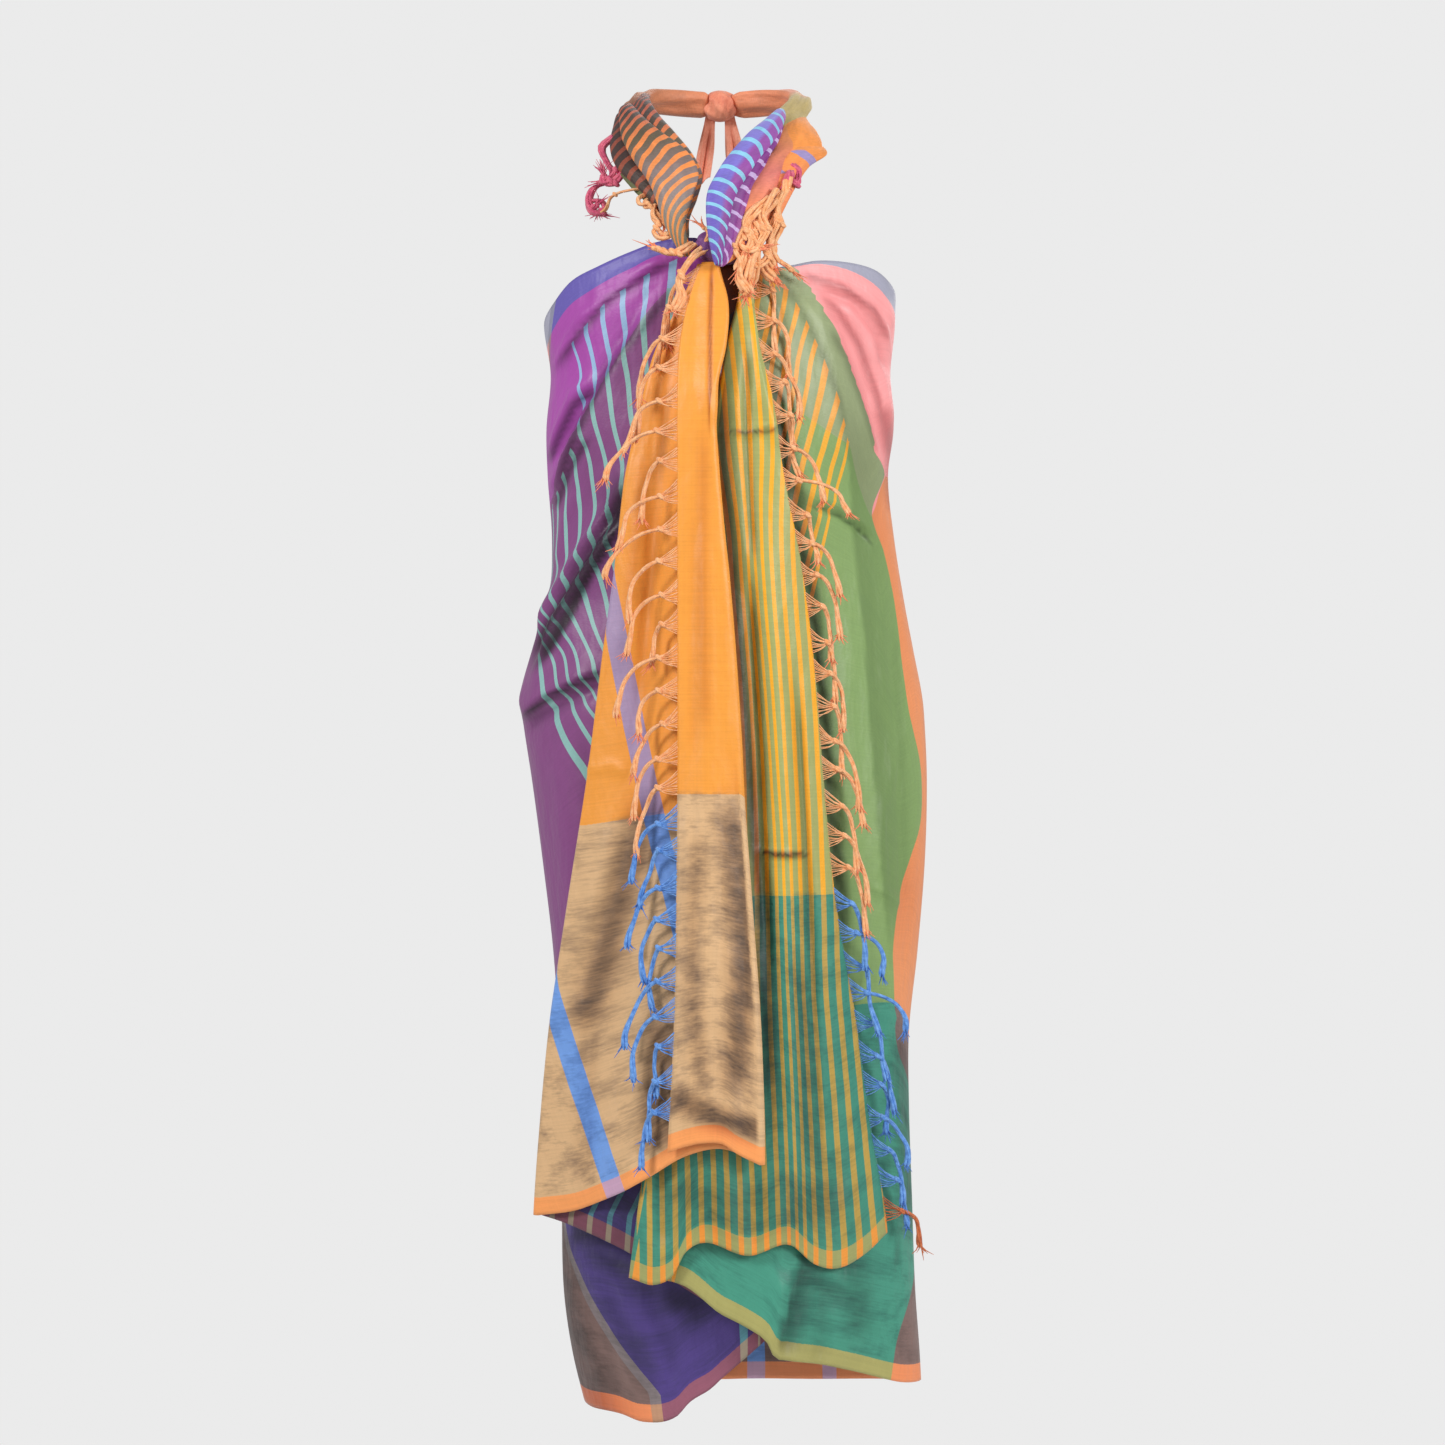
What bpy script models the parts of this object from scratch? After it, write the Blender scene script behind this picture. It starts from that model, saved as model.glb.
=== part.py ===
"""A longyi cloth worn as a halter sarong, modelled with Blender 4.5 (bpy, bmesh, numpy).

One rectangle of cloth with fringed ends is wound into a hollow form. Its two ends cross at
the chest, hang down the front in folded panels, and their upper corners make the two rolls of
a neck loop, which is tied at the nape.

Metres, +Z up, the front towards -Y. The origin is on the nape, where the loop hangs. The
tables are in millimetres: drop is the depth below the nape, x runs towards the garment's left
side and y runs to the back. The garment's right side is at -X.
"""

from collections import namedtuple
from math import pi

import bmesh
import bpy
import numpy as np
from mathutils import Vector

MM = 0.001
WALL = 1.6
SEAM_ANGLE = 0.1
TURN_SEAM = 0.75

KNOT_TOP = 146.0
KNOT_BOTTOM = 176.0
KNOT_SEAT = 0.4
KNOT_X = 4.0
KNOT_Y = -198.0
KNOT_HALF_WIDTH = 24.0
KNOT_HALF_DEPTH = 14.0
NAPE_KNOT_HALF = 15.0

# The hollow form that the wound cloth keeps: half widths to each side, depths to the front and
# back of its centre line, and where that line lies.
Ring = namedtuple("Ring", "drop right_side left_side front back centre_y")
HOLLOW = [
    Ring(131, 164, 164, 100, 98, -78),
    Ring(224, 164, 163, 108, 100, -77),
    Ring(266, 158, 159, 112, 100, -76),
    Ring(318, 162, 162, 115, 98, -75),
    Ring(360, 161, 157, 112, 94, -73),
    Ring(421, 157, 163, 106, 92, -71),
    Ring(477, 160, 172, 106, 98, -69),
    Ring(524, 176, 181, 111, 108, -66),
    Ring(571, 187, 190, 117, 115, -63),
    Ring(595, 184, 192, 119, 118, -62),
    Ring(647, 176, 194, 121, 119, -62),
    Ring(722, 166, 192, 119, 117, -63),
    Ring(807, 156, 185, 115, 114, -64),
    Ring(882, 151, 177, 112, 112, -65),
    Ring(948, 149, 177, 110, 111, -65),
    Ring(1041, 148, 180, 109, 110, -65),
    Ring(1126, 146, 183, 108, 110, -65),
    Ring(1182, 138, 187, 107, 110, -65),
    Ring(1239, 124, 190, 106, 110, -65),
]

# Where the front panels' edges and folds lie at each height, seen from the front.
Edges = namedtuple(
    "Edges", "drop right_fringe strip_fold panel_fold inner_fold left_fold left_fringe"
)
EDGES = [
    Edges(176, -16, -4, -19, -9, 22, 29),
    Edges(211, -28, 7, -35, -5, 20, 31),
    Edges(252, -36, 6, -57, -3, 10, 36),
    Edges(302, -38, -3, -71, 0, -2, 48),
    Edges(365, -38, -1, -84, 4, -9, 57),
    Edges(446, -38, 6, -94, 7, -16, 73),
    Edges(536, -38, 14, -107, 13, -25, 85),
    Edges(644, -38, 22, -121, 20, -35, 94),
    Edges(753, -39, 30, -138, 27, -45, 105),
    Edges(861, -41, 37, -155, 33, -55, 124),
    Edges(960, -46, 40, -165, 38, -65, 138),
    Edges(1041, -50, 40, -171, 41, -75, 152),
    Edges(1104, -50, 40, -173, 44, -83, 157),
    Edges(1170, -50, 40, -173, 46, -88, 160),
]

# The line that the hanging panels follow down the middle of the front.
Apron = namedtuple("Apron", "drop y")
APRON = [
    Apron(131, -181),
    Apron(224, -188),
    Apron(318, -194),
    Apron(421, -193),
    Apron(571, -191),
    Apron(722, -189),
    Apron(882, -187),
    Apron(1041, -185),
    Apron(1239, -184),
]
APRON_CURVE = 0.0022
APRON_SIDE = 135.0
APRON_BLEND = 85.0
SEAM_FADE = 14.0
FOLD_FADE = 20.0
ROWS = 21

# How far each hanging layer lies in front of the apron line, below the knot's narrowing.
HIDDEN_LAYER = 9.0
LEFT_WRAP_LAYER = 18.0
LEFT_PANEL_LAYER = 27.0
RIGHT_PANEL_LAYER = 38.0
STRIP_LAYER = 47.0
KNOT_CLOSENESS = 0.5
SPREAD_DROPS = (176.0, 300.0)
RIGHT_PANEL_REST = 18.0
RIGHT_PANEL_STEP_X = 48.0
RIGHT_PANEL_STEP = 40.0
LEFT_PANEL_BLEND = 60.0
LEFT_PANEL_SIDE_GAP = 1.5

# Soft upright waves of the hanging layers and of the back, which grow towards the hem.
RIPPLE_DEPTH = 2.2
RIPPLE_DROPS = (260.0, 960.0)
BACK_WAVE_DEPTH = 2.5
BACK_WAVE_DROPS = (500.0, 1100.0)
BACK_WAVES = 9

# Where folds are left out: under the right end, and under the striped panel above its hem.
RIGHT_HIDDEN_X = -30.0
RIGHT_HIDDEN_FADE = 40.0
COVER_MARGIN = 4.0
COVER_FADE = 14.0
COVER_DROPS = (200.0, 260.0)
COVER_HEM = 1085.0

# Top edges and hems: drop at each share of the way along a stretch.
Level = namedtuple("Level", "share drop")
RIGHT_WRAP_TOP = [
    Level(0, 223), Level(0.23, 205), Level(0.40, 185), Level(0.55, 174),
    Level(0.69, 163), Level(0.83, 153), Level(0.91, 152), Level(1, 176.4),
]
RIGHT_WRAP_HEM = [
    Level(0, 1226), Level(0.19, 1228), Level(0.43, 1228), Level(0.55, 1233),
    Level(0.70, 1226), Level(0.76, 1212), Level(0.85, 1198), Level(0.94, 1173), Level(1, 1156),
]
LEFT_WRAP_TOP = [
    Level(0, 195), Level(0.18, 185), Level(0.37, 174), Level(0.55, 170),
    Level(0.71, 171), Level(0.83, 177), Level(0.93, 180), Level(1, 176.4),
]
LEFT_WRAP_HEM = [
    Level(0, 1209), Level(0.20, 1205), Level(0.27, 1200), Level(0.31, 1192),
    Level(0.395, 1181), Level(0.48, 1171), Level(0.605, 1160), Level(0.66, 1134),
    Level(0.73, 1119), Level(0.84, 1101), Level(1, 1095),
]
BACK_TOP = [
    Level(0, 195), Level(0.11, 207), Level(0.25, 222), Level(0.5, 236),
    Level(0.75, 236), Level(0.89, 230), Level(1, 223),
]
BACK_HEM = [Level(0, 1209), Level(0.25, 1222), Level(0.5, 1228), Level(1, 1226)]
STRIP_HEM = [
    Level(0, 978), Level(0.2, 972), Level(0.37, 969), Level(0.6, 970), Level(0.74, 978), Level(1, 989),
]
PANEL_HEM = [
    Level(0, 989), Level(0.17, 975), Level(0.34, 982), Level(0.5, 1002),
    Level(0.67, 1022), Level(0.82, 1037), Level(1, 1045),
]
HIDDEN_HEM = [Level(0, 1045), Level(0.14, 1052), Level(0.4, 1073), Level(0.7, 1110), Level(1, 1150)]
FRONT_TURN_HEM = [Level(0, 989), Level(1, 989)]
SIDE_TURN_HEM = [Level(0, 1045), Level(1, 1045)]
INNER_TURN_HEM = [Level(0, 1150), Level(1, 1156)]
LEFT_TURN_HEM = 1095.0
LEFT_PANEL_HEM = [
    Level(0, 1096), Level(0.08, 1100), Level(0.15, 1090), Level(0.19, 1069), Level(0.45, 1073),
    Level(0.6, 1064), Level(0.70, 1084), Level(0.78, 1090), Level(0.9, 1080), Level(1, 1062),
]

# The largest folds, as lines in the front view. Lift is how far the ridge stands out (a trough
# is negative), and the two widths are how far it fades above or right of the line, and below
# or left of it.
Fold = namedtuple("Fold", "lift upper_width lower_width line")
RIGHT_WRAP_FOLDS = [
    Fold(4.0, 22, 6, [(-30, 166), (-102, 205), (-151, 263)]),
    Fold(3.5, 26, 7, [(-30, 185), (-102, 271), (-136, 336), (-152, 380)]),
    Fold(7.0, 30, 12, [(-76, 350), (-123, 439), (-154, 492), (-178, 542)]),
    Fold(-6.0, 7, 16, [(-84, 370), (-130, 449), (-160, 502)]),
    Fold(4.5, 26, 6, [(-184, 592), (-159, 568), (-111, 545), (-80, 520)]),
    Fold(3.0, 12, 10, [(-158, 300), (-128, 330), (-110, 345)]),
]
LEFT_WRAP_FOLDS = [
    Fold(3.5, 9, 14, [(78, 182), (152, 214), (161, 232)]),
    Fold(3.5, 14, 12, [(86, 200), (132, 236), (159, 320)]),
    Fold(5.0, 8, 26, [(62, 184), (113, 251), (142, 336), (151, 375)]),
    Fold(3.5, 8, 18, [(56, 190), (91, 236), (105, 290), (128, 420)]),
    Fold(4.0, 6, 14, [(40, 186), (51, 215), (50, 270)]),
    Fold(-3.0, 9, 9, [(112, 402), (138, 426)]),
    Fold(3.5, 24, 24, [(122, 429), (128, 613), (146, 760), (150, 900)]),
    Fold(-3.0, 16, 16, [(148, 470), (160, 640), (168, 800)]),
    Fold(3.0, 10, 14, [(175, 581), (140, 687), (132, 760)]),
    Fold(-6.0, 9, 22, [(76, 1060), (62, 1110), (47, 1165)]),
    Fold(4.0, 20, 20, [(110, 1000), (120, 1190)]),
]
BACK_FOLDS = [
    Fold(4.0, 26, 26, [(-150, 300), (-60, 520), (-30, 900)]),
    Fold(-3.5, 24, 24, [(-110, 330), (-20, 620), (10, 1100)]),
    Fold(4.0, 24, 24, [(150, 280), (70, 520), (60, 1000)]),
    Fold(-3.5, 26, 26, [(110, 420), (110, 900), (120, 1200)]),
    Fold(4.5, 30, 30, [(-100, 760), (-90, 1000), (-96, 1230)]),
]
PANEL_FOLDS = [
    Fold(3.0, 12, 12, [(-8, 178), (-6, 300)]),
    Fold(-4.5, 14, 18, [(-58, 650), (-100, 760), (-135, 860)]),
    Fold(4.0, 20, 20, [(-95, 640), (-118, 760), (-140, 1000)]),
    Fold(-3.0, 12, 14, [(-120, 850), (-125, 1030)]),
    Fold(3.5, 16, 18, [(-84, 800), (-98, 1030)]),
    Fold(3.0, 16, 18, [(-70, 330), (-84, 560)]),
]
STRIP_FOLDS = [
    Fold(3.0, 6, 10, [(-9, 178), (-7, 320)]),
    Fold(3.5, 16, 16, [(-12, 330), (-8, 640), (-14, 980)]),
    Fold(-3.0, 10, 10, [(18, 640), (24, 800), (24, 985)]),
]
LEFT_PANEL_FOLDS = [
    Fold(4.0, 7, 9, [(36, 240), (42, 300), (47, 420)]),
    Fold(-4.0, 8, 8, [(30, 240), (24, 330), (30, 460)]),
    Fold(4.5, 16, 16, [(40, 380), (62, 760), (74, 1090)]),
    Fold(-4.0, 12, 12, [(60, 640), (84, 900), (92, 1060)]),
    Fold(4.0, 16, 16, [(84, 640), (110, 900), (124, 1085)]),
    Fold(-4.0, 14, 10, [(-58, 980), (-52, 1070)]),
    Fold(4.0, 14, 14, [(4, 940), (8, 1080)]),
]

# Both neck rolls, as the lines of their inner and outer edges.
Rail = namedtuple("Rail", "inner_x inner_y inner_drop outer_x outer_y outer_drop thickness")
RIGHT_ROLL = [
    Rail(-9, -202, 156, -23, -198, 158, 14),
    Rail(-12, -203, 133, -44, -192, 143, 17),
    Rail(-16, -197, 104, -64, -180, 121, 20),
    Rail(-33, -178, 70, -83, -156, 94, 22),
    Rail(-48, -148, 42, -95, -126, 62, 23),
    Rail(-60, -110, 20, -96, -94, 33, 23),
    Rail(-67, -68, 4, -92, -58, 12, 23),
    Rail(-60, -28, -8, -80, -12, 9, 22),
    Rail(-36, -4, -13, -50, 14, 10, 20),
    Rail(-8, 4, -14, -10, 26, 13, 19),
]
LEFT_ROLL = [
    Rail(4, -205, 156, 24, -203, 157, 16),
    Rail(2, -210, 130, 50, -192, 136, 22),
    Rail(4, -202, 96, 66, -174, 105, 24),
    Rail(23, -176, 63, 77, -144, 76, 24),
    Rail(41, -147, 38, 89, -114, 54, 24),
    Rail(56, -112, 18, 92, -86, 31, 23),
    Rail(67, -68, 3, 92, -56, 12, 23),
    Rail(60, -28, -8, 80, -12, 9, 22),
    Rail(36, -4, -13, 50, 14, 10, 20),
    Rail(8, 4, -14, 10, 26, 13, 19),
]
ROLL_RINGS = 19
ROLL_POINTS = 20
ROLL_PLEATS = 5
ROLL_PLEAT_DEPTH = 0.16

# A tassel, from its wide root to its tip: how far out each section is, how far down and how
# wide. The knot is where it is narrow and then a little wider.
Section = namedtuple("Section", "out down width")
TASSEL = [
    Section(15, 3, 3.6),
    Section(19, 6, 5.6),
    Section(22, 11, 3.4),
    Section(29, 34, 4.6),
    Section(34, 60, 1.8),
]
TASSEL_WALL = 1.8
TASSEL_CLEARANCE = 5.0
TASSEL_DEPTH = 14.0
TASSEL_SWAY = 0.02
TASSEL_SETTLING = 20.0
FRINGE_SEAM = 0.45
BACKING_EDGE = 2.8
NECK_FRINGE_CLEARANCE = 5.0

# The ends of the tie, which hang from under the nape knot.
TIE_TOP = 15.2
TIE_LENGTH = 58.0
TIE_TIP_SLANT = 6.0
TIE_TOP_WIDTH = 9.9
TIE_WIDTH = 16.5
TIE_APART = 9.0
TIE_Y = 19.0
TIE_RUN_BACK = 5.0
TIE_PLEAT = 2.2

# The fringes: where along its edge the first tassel starts, and how many there are.
Fringe = namedtuple("Fringe", "start count pitch root size")
RIGHT_END_FRINGE = Fringe(34, 25, 30, 23, 1.0)
LEFT_END_FRINGE = Fringe(50, 27, 30, 23, 1.0)
RIGHT_NECK_FRINGE = Fringe(20, 5, 22, 15, 0.8)
LEFT_NECK_FRINGE = Fringe(14, 5, 22, 15, 0.85)

Cloth = namedtuple("Cloth", "colour roughness")
PURPLE = Cloth((0.36, 0.07, 0.38, 1), 0.55)
GREEN = Cloth((0.33, 0.50, 0.22, 1), 0.55)
CORAL = Cloth((0.86, 0.36, 0.24, 1), 0.6)
ORANGE = Cloth((0.93, 0.46, 0.11, 1), 0.55)
STRIPED = Cloth((0.60, 0.60, 0.22, 1), 0.55)
BROWN = Cloth((0.42, 0.22, 0.16, 1), 0.6)
PEACH = Cloth((0.90, 0.45, 0.24, 1), 0.8)


def smooth_read(places, values, at):
    """A smooth curve through the table's values, read at the given places."""
    places = np.asarray(places, float)
    values = np.asarray(values, float)
    steps = np.diff(places)
    rises = np.diff(values) / steps
    slopes = np.concatenate([rises[:1], (rises[:-1] + rises[1:]) / 2, rises[-1:]])
    at = np.clip(at, places[0], places[-1])
    i = np.clip(np.searchsorted(places, at, side="right") - 1, 0, len(steps) - 1)
    t = (at - places[i]) / steps[i]
    step = steps[i]
    return (
        values[i] * (1 + 2 * t) * (1 - t) ** 2
        + values[i + 1] * t * t * (3 - 2 * t)
        + slopes[i] * step * t * (1 - t) ** 2
        - slopes[i + 1] * step * t * t * (1 - t)
    )


def column(rows, name, drop):
    """One named column of a table whose rows are given by drop."""
    return smooth_read([row.drop for row in rows], [getattr(row, name) for row in rows], drop)


def level(rows, share):
    """A top edge or a hem, read at a share of the way along its stretch."""
    return smooth_read([row.share for row in rows], [row.drop for row in rows], share)


def ease(value):
    """0 below 0 and 1 above 1, with a smooth step between."""
    value = np.clip(value, 0, 1)
    return value * value * (3 - 2 * value)


def ease_between(span, at):
    """0 above a span of drops and 1 below it."""
    low, high = span
    return ease((at - low) / (high - low))


def mix(first, second, share):
    return first + (second - first) * share


def spread(drop):
    """How far the hanging layers have opened out below the knot, as a share."""
    return mix(KNOT_CLOSENESS, 1.0, ease_between(SPREAD_DROPS, drop))


def distance_to_line(x, drop, line):
    """Signed distance to a line of points, and how far along it the nearest point is (0 to 1)."""
    points = np.array(line, float)
    lengths = np.linalg.norm(np.diff(points, axis=0), axis=1)
    starts = np.concatenate([[0], np.cumsum(lengths)]) / lengths.sum()
    best = np.full(np.shape(x), 1e9)
    signed = np.zeros(np.shape(x))
    along = np.zeros(np.shape(x))
    for i, (a, b) in enumerate(zip(points[:-1], points[1:])):
        run = b - a
        share = np.clip(((x - a[0]) * run[0] + (drop - a[1]) * run[1]) / (run @ run), 0, 1)
        away_x = x - (a[0] + share * run[0])
        away_drop = drop - (a[1] + share * run[1])
        far = np.hypot(away_x, away_drop)
        side = np.sign(away_x * run[1] - away_drop * run[0])
        nearer = far < best
        best = np.where(nearer, far, best)
        signed = np.where(nearer, far * side, signed)
        along = np.where(nearer, mix(starts[i], starts[i + 1], share), along)
    return signed, along


def fold_lift(folds, x, drop):
    """How far a stretch's folds lift it off its plain form."""
    lift = np.zeros(np.shape(x))
    for fold in folds:
        signed, along = distance_to_line(x, drop, fold.line)
        width = np.where(signed > 0, fold.upper_width, fold.lower_width)
        fade = ease(along * 5) * ease((1 - along) * 5)
        lift = lift + fold.lift * fade * np.exp(-((signed / width) ** 2))
    return lift


def ripple(x, drop):
    """Soft upright waves that all the hanging layers share. They grow towards the hem."""
    wave = np.sin(x / 13.5 + drop / 310) + 0.6 * np.sin(x / 23 - drop / 240 + 1.3)
    return ease_between(RIPPLE_DROPS, drop) * RIPPLE_DEPTH * (1 + wave / 1.6)


def apron_y(x, drop):
    """The surface that the hanging layers are laid in front of."""
    return column(APRON, "y", drop) + APRON_CURVE * x * x


def wound_point(angle, drop):
    """A point on the hollow form: 0 is its right side, 90 the front, 180 the left side."""
    radians = np.radians(angle)
    right = column(HOLLOW, "right_side", drop)
    left = column(HOLLOW, "left_side", drop)
    front = column(HOLLOW, "front", drop)
    back = column(HOLLOW, "back", drop)
    across = np.cos(radians)
    x = -np.where(across > 0, right, left) * across
    y = column(HOLLOW, "centre_y", drop) - np.where(np.sin(radians) > 0, front, back) * np.sin(radians)
    return x, y


def angle_at(x, drop):
    """The angle on the front of the hollow form at which the cloth is at x."""
    right = column(HOLLOW, "right_side", drop)
    left = column(HOLLOW, "left_side", drop)
    return np.degrees(np.arccos(np.clip(-x / np.where(x < 0, right, left), -1, 1)))


def lifted(x, y, angle, lift):
    """Moves a point of a wound stretch straight out from the hollow form."""
    radians = np.radians(angle)
    return x - lift * np.cos(radians), y - lift * np.sin(radians)


def turn_radius(drop):
    """Half the distance between neighbouring layers, where the cloth folds back."""
    return HIDDEN_LAYER / 2 * spread(drop)


def turn_start(drop):
    """The share of a turn that is left out, to part it from the stretch that it goes on from."""
    return TURN_SEAM / (pi * turn_radius(drop))


def hidden_y(x, drop):
    """The hidden pleat, behind the right end's panel."""
    return apron_y(x, drop) - HIDDEN_LAYER * spread(drop) - ripple(x, drop)


def left_wrap_y(x, angle, drop):
    """The left wrap's depth: wound at the side, and in front of the hidden pleat further in."""
    _, wound = wound_point(angle, drop)
    hanging = apron_y(x, drop) - LEFT_WRAP_LAYER * spread(drop) - ripple(x, drop)
    return mix(wound, hanging, ease((APRON_SIDE - x) / APRON_BLEND))


def left_panel_y(x, drop):
    """The striped end panel follows the left wrap, one layer further out."""
    gap = (LEFT_PANEL_LAYER - LEFT_WRAP_LAYER) * spread(drop)
    folds = fold_lift(LEFT_WRAP_FOLDS, x, drop)
    inside = ease((APRON_SIDE - x) / LEFT_PANEL_BLEND)
    side_gap = mix(folds + LEFT_PANEL_SIDE_GAP, 0, inside)
    return left_wrap_y(x, angle_at(x, drop), drop) - gap - side_gap


def right_panel_y(x, drop):
    """The right end's panel: close to the hidden pleat at its free side, over the others inside."""
    left_fold = column(EDGES, "left_fold", drop)
    inside = ease((x - left_fold + RIGHT_PANEL_STEP_X) / RIGHT_PANEL_STEP)
    layer = mix(RIGHT_PANEL_REST, RIGHT_PANEL_LAYER, inside)
    return apron_y(x, drop) - layer * spread(drop) - ripple(x, drop)


def strip_y(x, drop):
    """The turned-back strip that ends in the fringe."""
    return apron_y(x, drop) - STRIP_LAYER * spread(drop) - ripple(x, drop)


def turned(x, back_y, front_y, share, bulge):
    """Half a circle round a fold, from the back layer to the front one. Bulge is its side."""
    angle = pi * (share - 0.5)
    middle = (back_y + front_y) / 2
    radius = (back_y - front_y) / 2
    return x + bulge * radius * np.cos(angle), middle - radius * np.sin(angle)


def right_wrap(along, down):
    """The stretch from the right side to the fold under the panels."""
    drop = mix(level(RIGHT_WRAP_TOP, along), level(RIGHT_WRAP_HEM, along), down)
    fold_x = column(EDGES, "inner_fold", drop) - turn_radius(drop)
    last = angle_at(fold_x, drop) - SEAM_ANGLE
    angle = mix(SEAM_ANGLE, last, along)
    x, y = wound_point(angle, drop)
    shows = 1 - ease((x - RIGHT_HIDDEN_X) / RIGHT_HIDDEN_FADE)
    lift = fold_lift(RIGHT_WRAP_FOLDS, x, drop) * shows * ease(angle / SEAM_FADE)
    x, y = lifted(x, y, angle, lift)
    return x, y, drop


def left_wrap(along, down):
    """The stretch from the left side to the striped panel's fold."""
    drop = mix(level(LEFT_WRAP_TOP, along), level(LEFT_WRAP_HEM, along), down)
    fold_x = column(EDGES, "left_fold", drop) + turn_radius(drop)
    last = angle_at(fold_x, drop) + SEAM_ANGLE
    angle = mix(180 - SEAM_ANGLE, last, along)
    x, _ = wound_point(angle, drop)
    y = left_wrap_y(x, angle, drop)
    under_panel = ease((column(EDGES, "left_fringe", drop) - x + COVER_MARGIN) / COVER_FADE)
    covered = under_panel * ease_between(COVER_DROPS, drop)
    shows = np.maximum(1 - covered, ease((drop - COVER_HEM) / FOLD_FADE))
    below_knot = ease((drop - KNOT_BOTTOM) / FOLD_FADE)
    lift = fold_lift(LEFT_WRAP_FOLDS, x, drop) * shows * below_knot * ease((180 - angle) / SEAM_FADE)
    x, y = lifted(x, y, angle, lift)
    return x, y, drop


def back_wrap(along, down):
    """The stretch round the back, from the left side to the right one."""
    drop = mix(level(BACK_TOP, along), level(BACK_HEM, along), down)
    angle = mix(180 + SEAM_ANGLE, 360 - SEAM_ANGLE, along)
    x, y = wound_point(angle, drop)
    side = np.abs(np.sin(np.radians(angle)))
    wave = np.sin(np.radians(angle) * BACK_WAVES + drop / 260) * ease_between(BACK_WAVE_DROPS, drop)
    lift = (fold_lift(BACK_FOLDS, x, drop) + BACK_WAVE_DEPTH * wave) * ease(side * 2.5)
    x, y = lifted(x, y, angle, lift)
    return x, y, drop


def segments(along, names, sizes):
    """Splits a path's share into its named segments: which one, and the share within it."""
    ends = np.cumsum(sizes) / sum(sizes)
    starts = ends - np.array(sizes) / sum(sizes)
    index = np.clip(np.searchsorted(ends, along, side="left"), 0, len(names) - 1)
    return {
        name: (index == i, (along - starts[i]) / (ends[i] - starts[i]))
        for i, name in enumerate(names)
    }


RIGHT_END_SEGMENTS = ("strip", "front_turn", "panel", "side_turn", "hidden", "inner_turn")
RIGHT_END_COLUMNS = (4, 3, 10, 3, 6, 3)
RIGHT_END_HEMS = {
    "strip": STRIP_HEM,
    "front_turn": FRONT_TURN_HEM,
    "panel": PANEL_HEM,
    "side_turn": SIDE_TURN_HEM,
    "hidden": HIDDEN_HEM,
    "inner_turn": INNER_TURN_HEM,
}
LEFT_END_SEGMENTS = ("turn", "panel")
LEFT_END_COLUMNS = (3, 14)


def right_end(along, down):
    """The right end, from its fringed edge: the strip, the panel and the hidden pleat."""
    parts = segments(along, RIGHT_END_SEGMENTS, RIGHT_END_COLUMNS)
    x = np.zeros(np.shape(along))
    y = np.zeros(np.shape(along))
    hem = np.zeros(np.shape(along))
    for name, (here, share) in parts.items():
        hem = np.where(here, level(RIGHT_END_HEMS[name], share), hem)
    drop = mix(KNOT_BOTTOM + KNOT_SEAT, hem, down)
    edge = {name: column(EDGES, name, drop) for name in Edges._fields[1:]}
    radius = turn_radius(drop)
    strip_end = edge["strip_fold"] - radius
    panel_end = edge["panel_fold"] + radius
    hidden_end = edge["inner_fold"] - radius
    for name, (here, share) in parts.items():
        if name == "strip":
            px = mix(edge["right_fringe"], strip_end, share)
            py = strip_y(px, drop) - fold_lift(STRIP_FOLDS, px, drop)
        elif name == "front_turn":
            back = right_panel_y(strip_end, drop) - fold_lift(PANEL_FOLDS, strip_end, drop)
            front = strip_y(strip_end, drop) - fold_lift(STRIP_FOLDS, strip_end, drop)
            px, py = turned(strip_end, back, front, 1 - share, 1)
        elif name == "panel":
            px = mix(strip_end, panel_end, share)
            py = right_panel_y(px, drop) - fold_lift(PANEL_FOLDS, px, drop)
        elif name == "side_turn":
            front = right_panel_y(panel_end, drop) - fold_lift(PANEL_FOLDS, panel_end, drop)
            px, py = turned(panel_end, hidden_y(panel_end, drop), front, 1 - share, -1)
        elif name == "hidden":
            px = mix(panel_end, hidden_end, share)
            py = hidden_y(px, drop)
        else:
            _, back = wound_point(angle_at(hidden_end, drop), drop)
            turn_share = 1 - share * (1 - turn_start(drop))
            px, py = turned(hidden_end, back, hidden_y(hidden_end, drop), turn_share, 1)
        x = np.where(here, px, x)
        y = np.where(here, py, y)
    return x, y, drop


def left_end(along, down):
    """The striped left end, from its fold on the left wrap to its fringed edge."""
    parts = segments(along, LEFT_END_SEGMENTS, LEFT_END_COLUMNS)
    in_turn, turn_share = parts["turn"]
    _, panel_share = parts["panel"]
    hem = np.where(in_turn, LEFT_TURN_HEM, level(LEFT_PANEL_HEM, panel_share))
    drop = mix(KNOT_BOTTOM + KNOT_SEAT, hem, down)
    fold_x = column(EDGES, "left_fold", drop) + turn_radius(drop)
    back = left_wrap_y(fold_x, angle_at(fold_x, drop), drop)
    front = left_panel_y(fold_x, drop) - fold_lift(LEFT_PANEL_FOLDS, fold_x, drop)
    turn_x, turn_y = turned(fold_x, back, front, mix(turn_start(drop), 1, turn_share), -1)
    fringe_x = column(EDGES, "left_fringe", drop)
    panel_x = mix(fold_x, fringe_x, panel_share)
    panel_y = left_panel_y(panel_x, drop) - fold_lift(LEFT_PANEL_FOLDS, panel_x, drop)
    return np.where(in_turn, turn_x, panel_x), np.where(in_turn, turn_y, panel_y), drop


def clear_scene():
    for old in list(bpy.data.objects):
        bpy.data.objects.remove(old)


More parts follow.
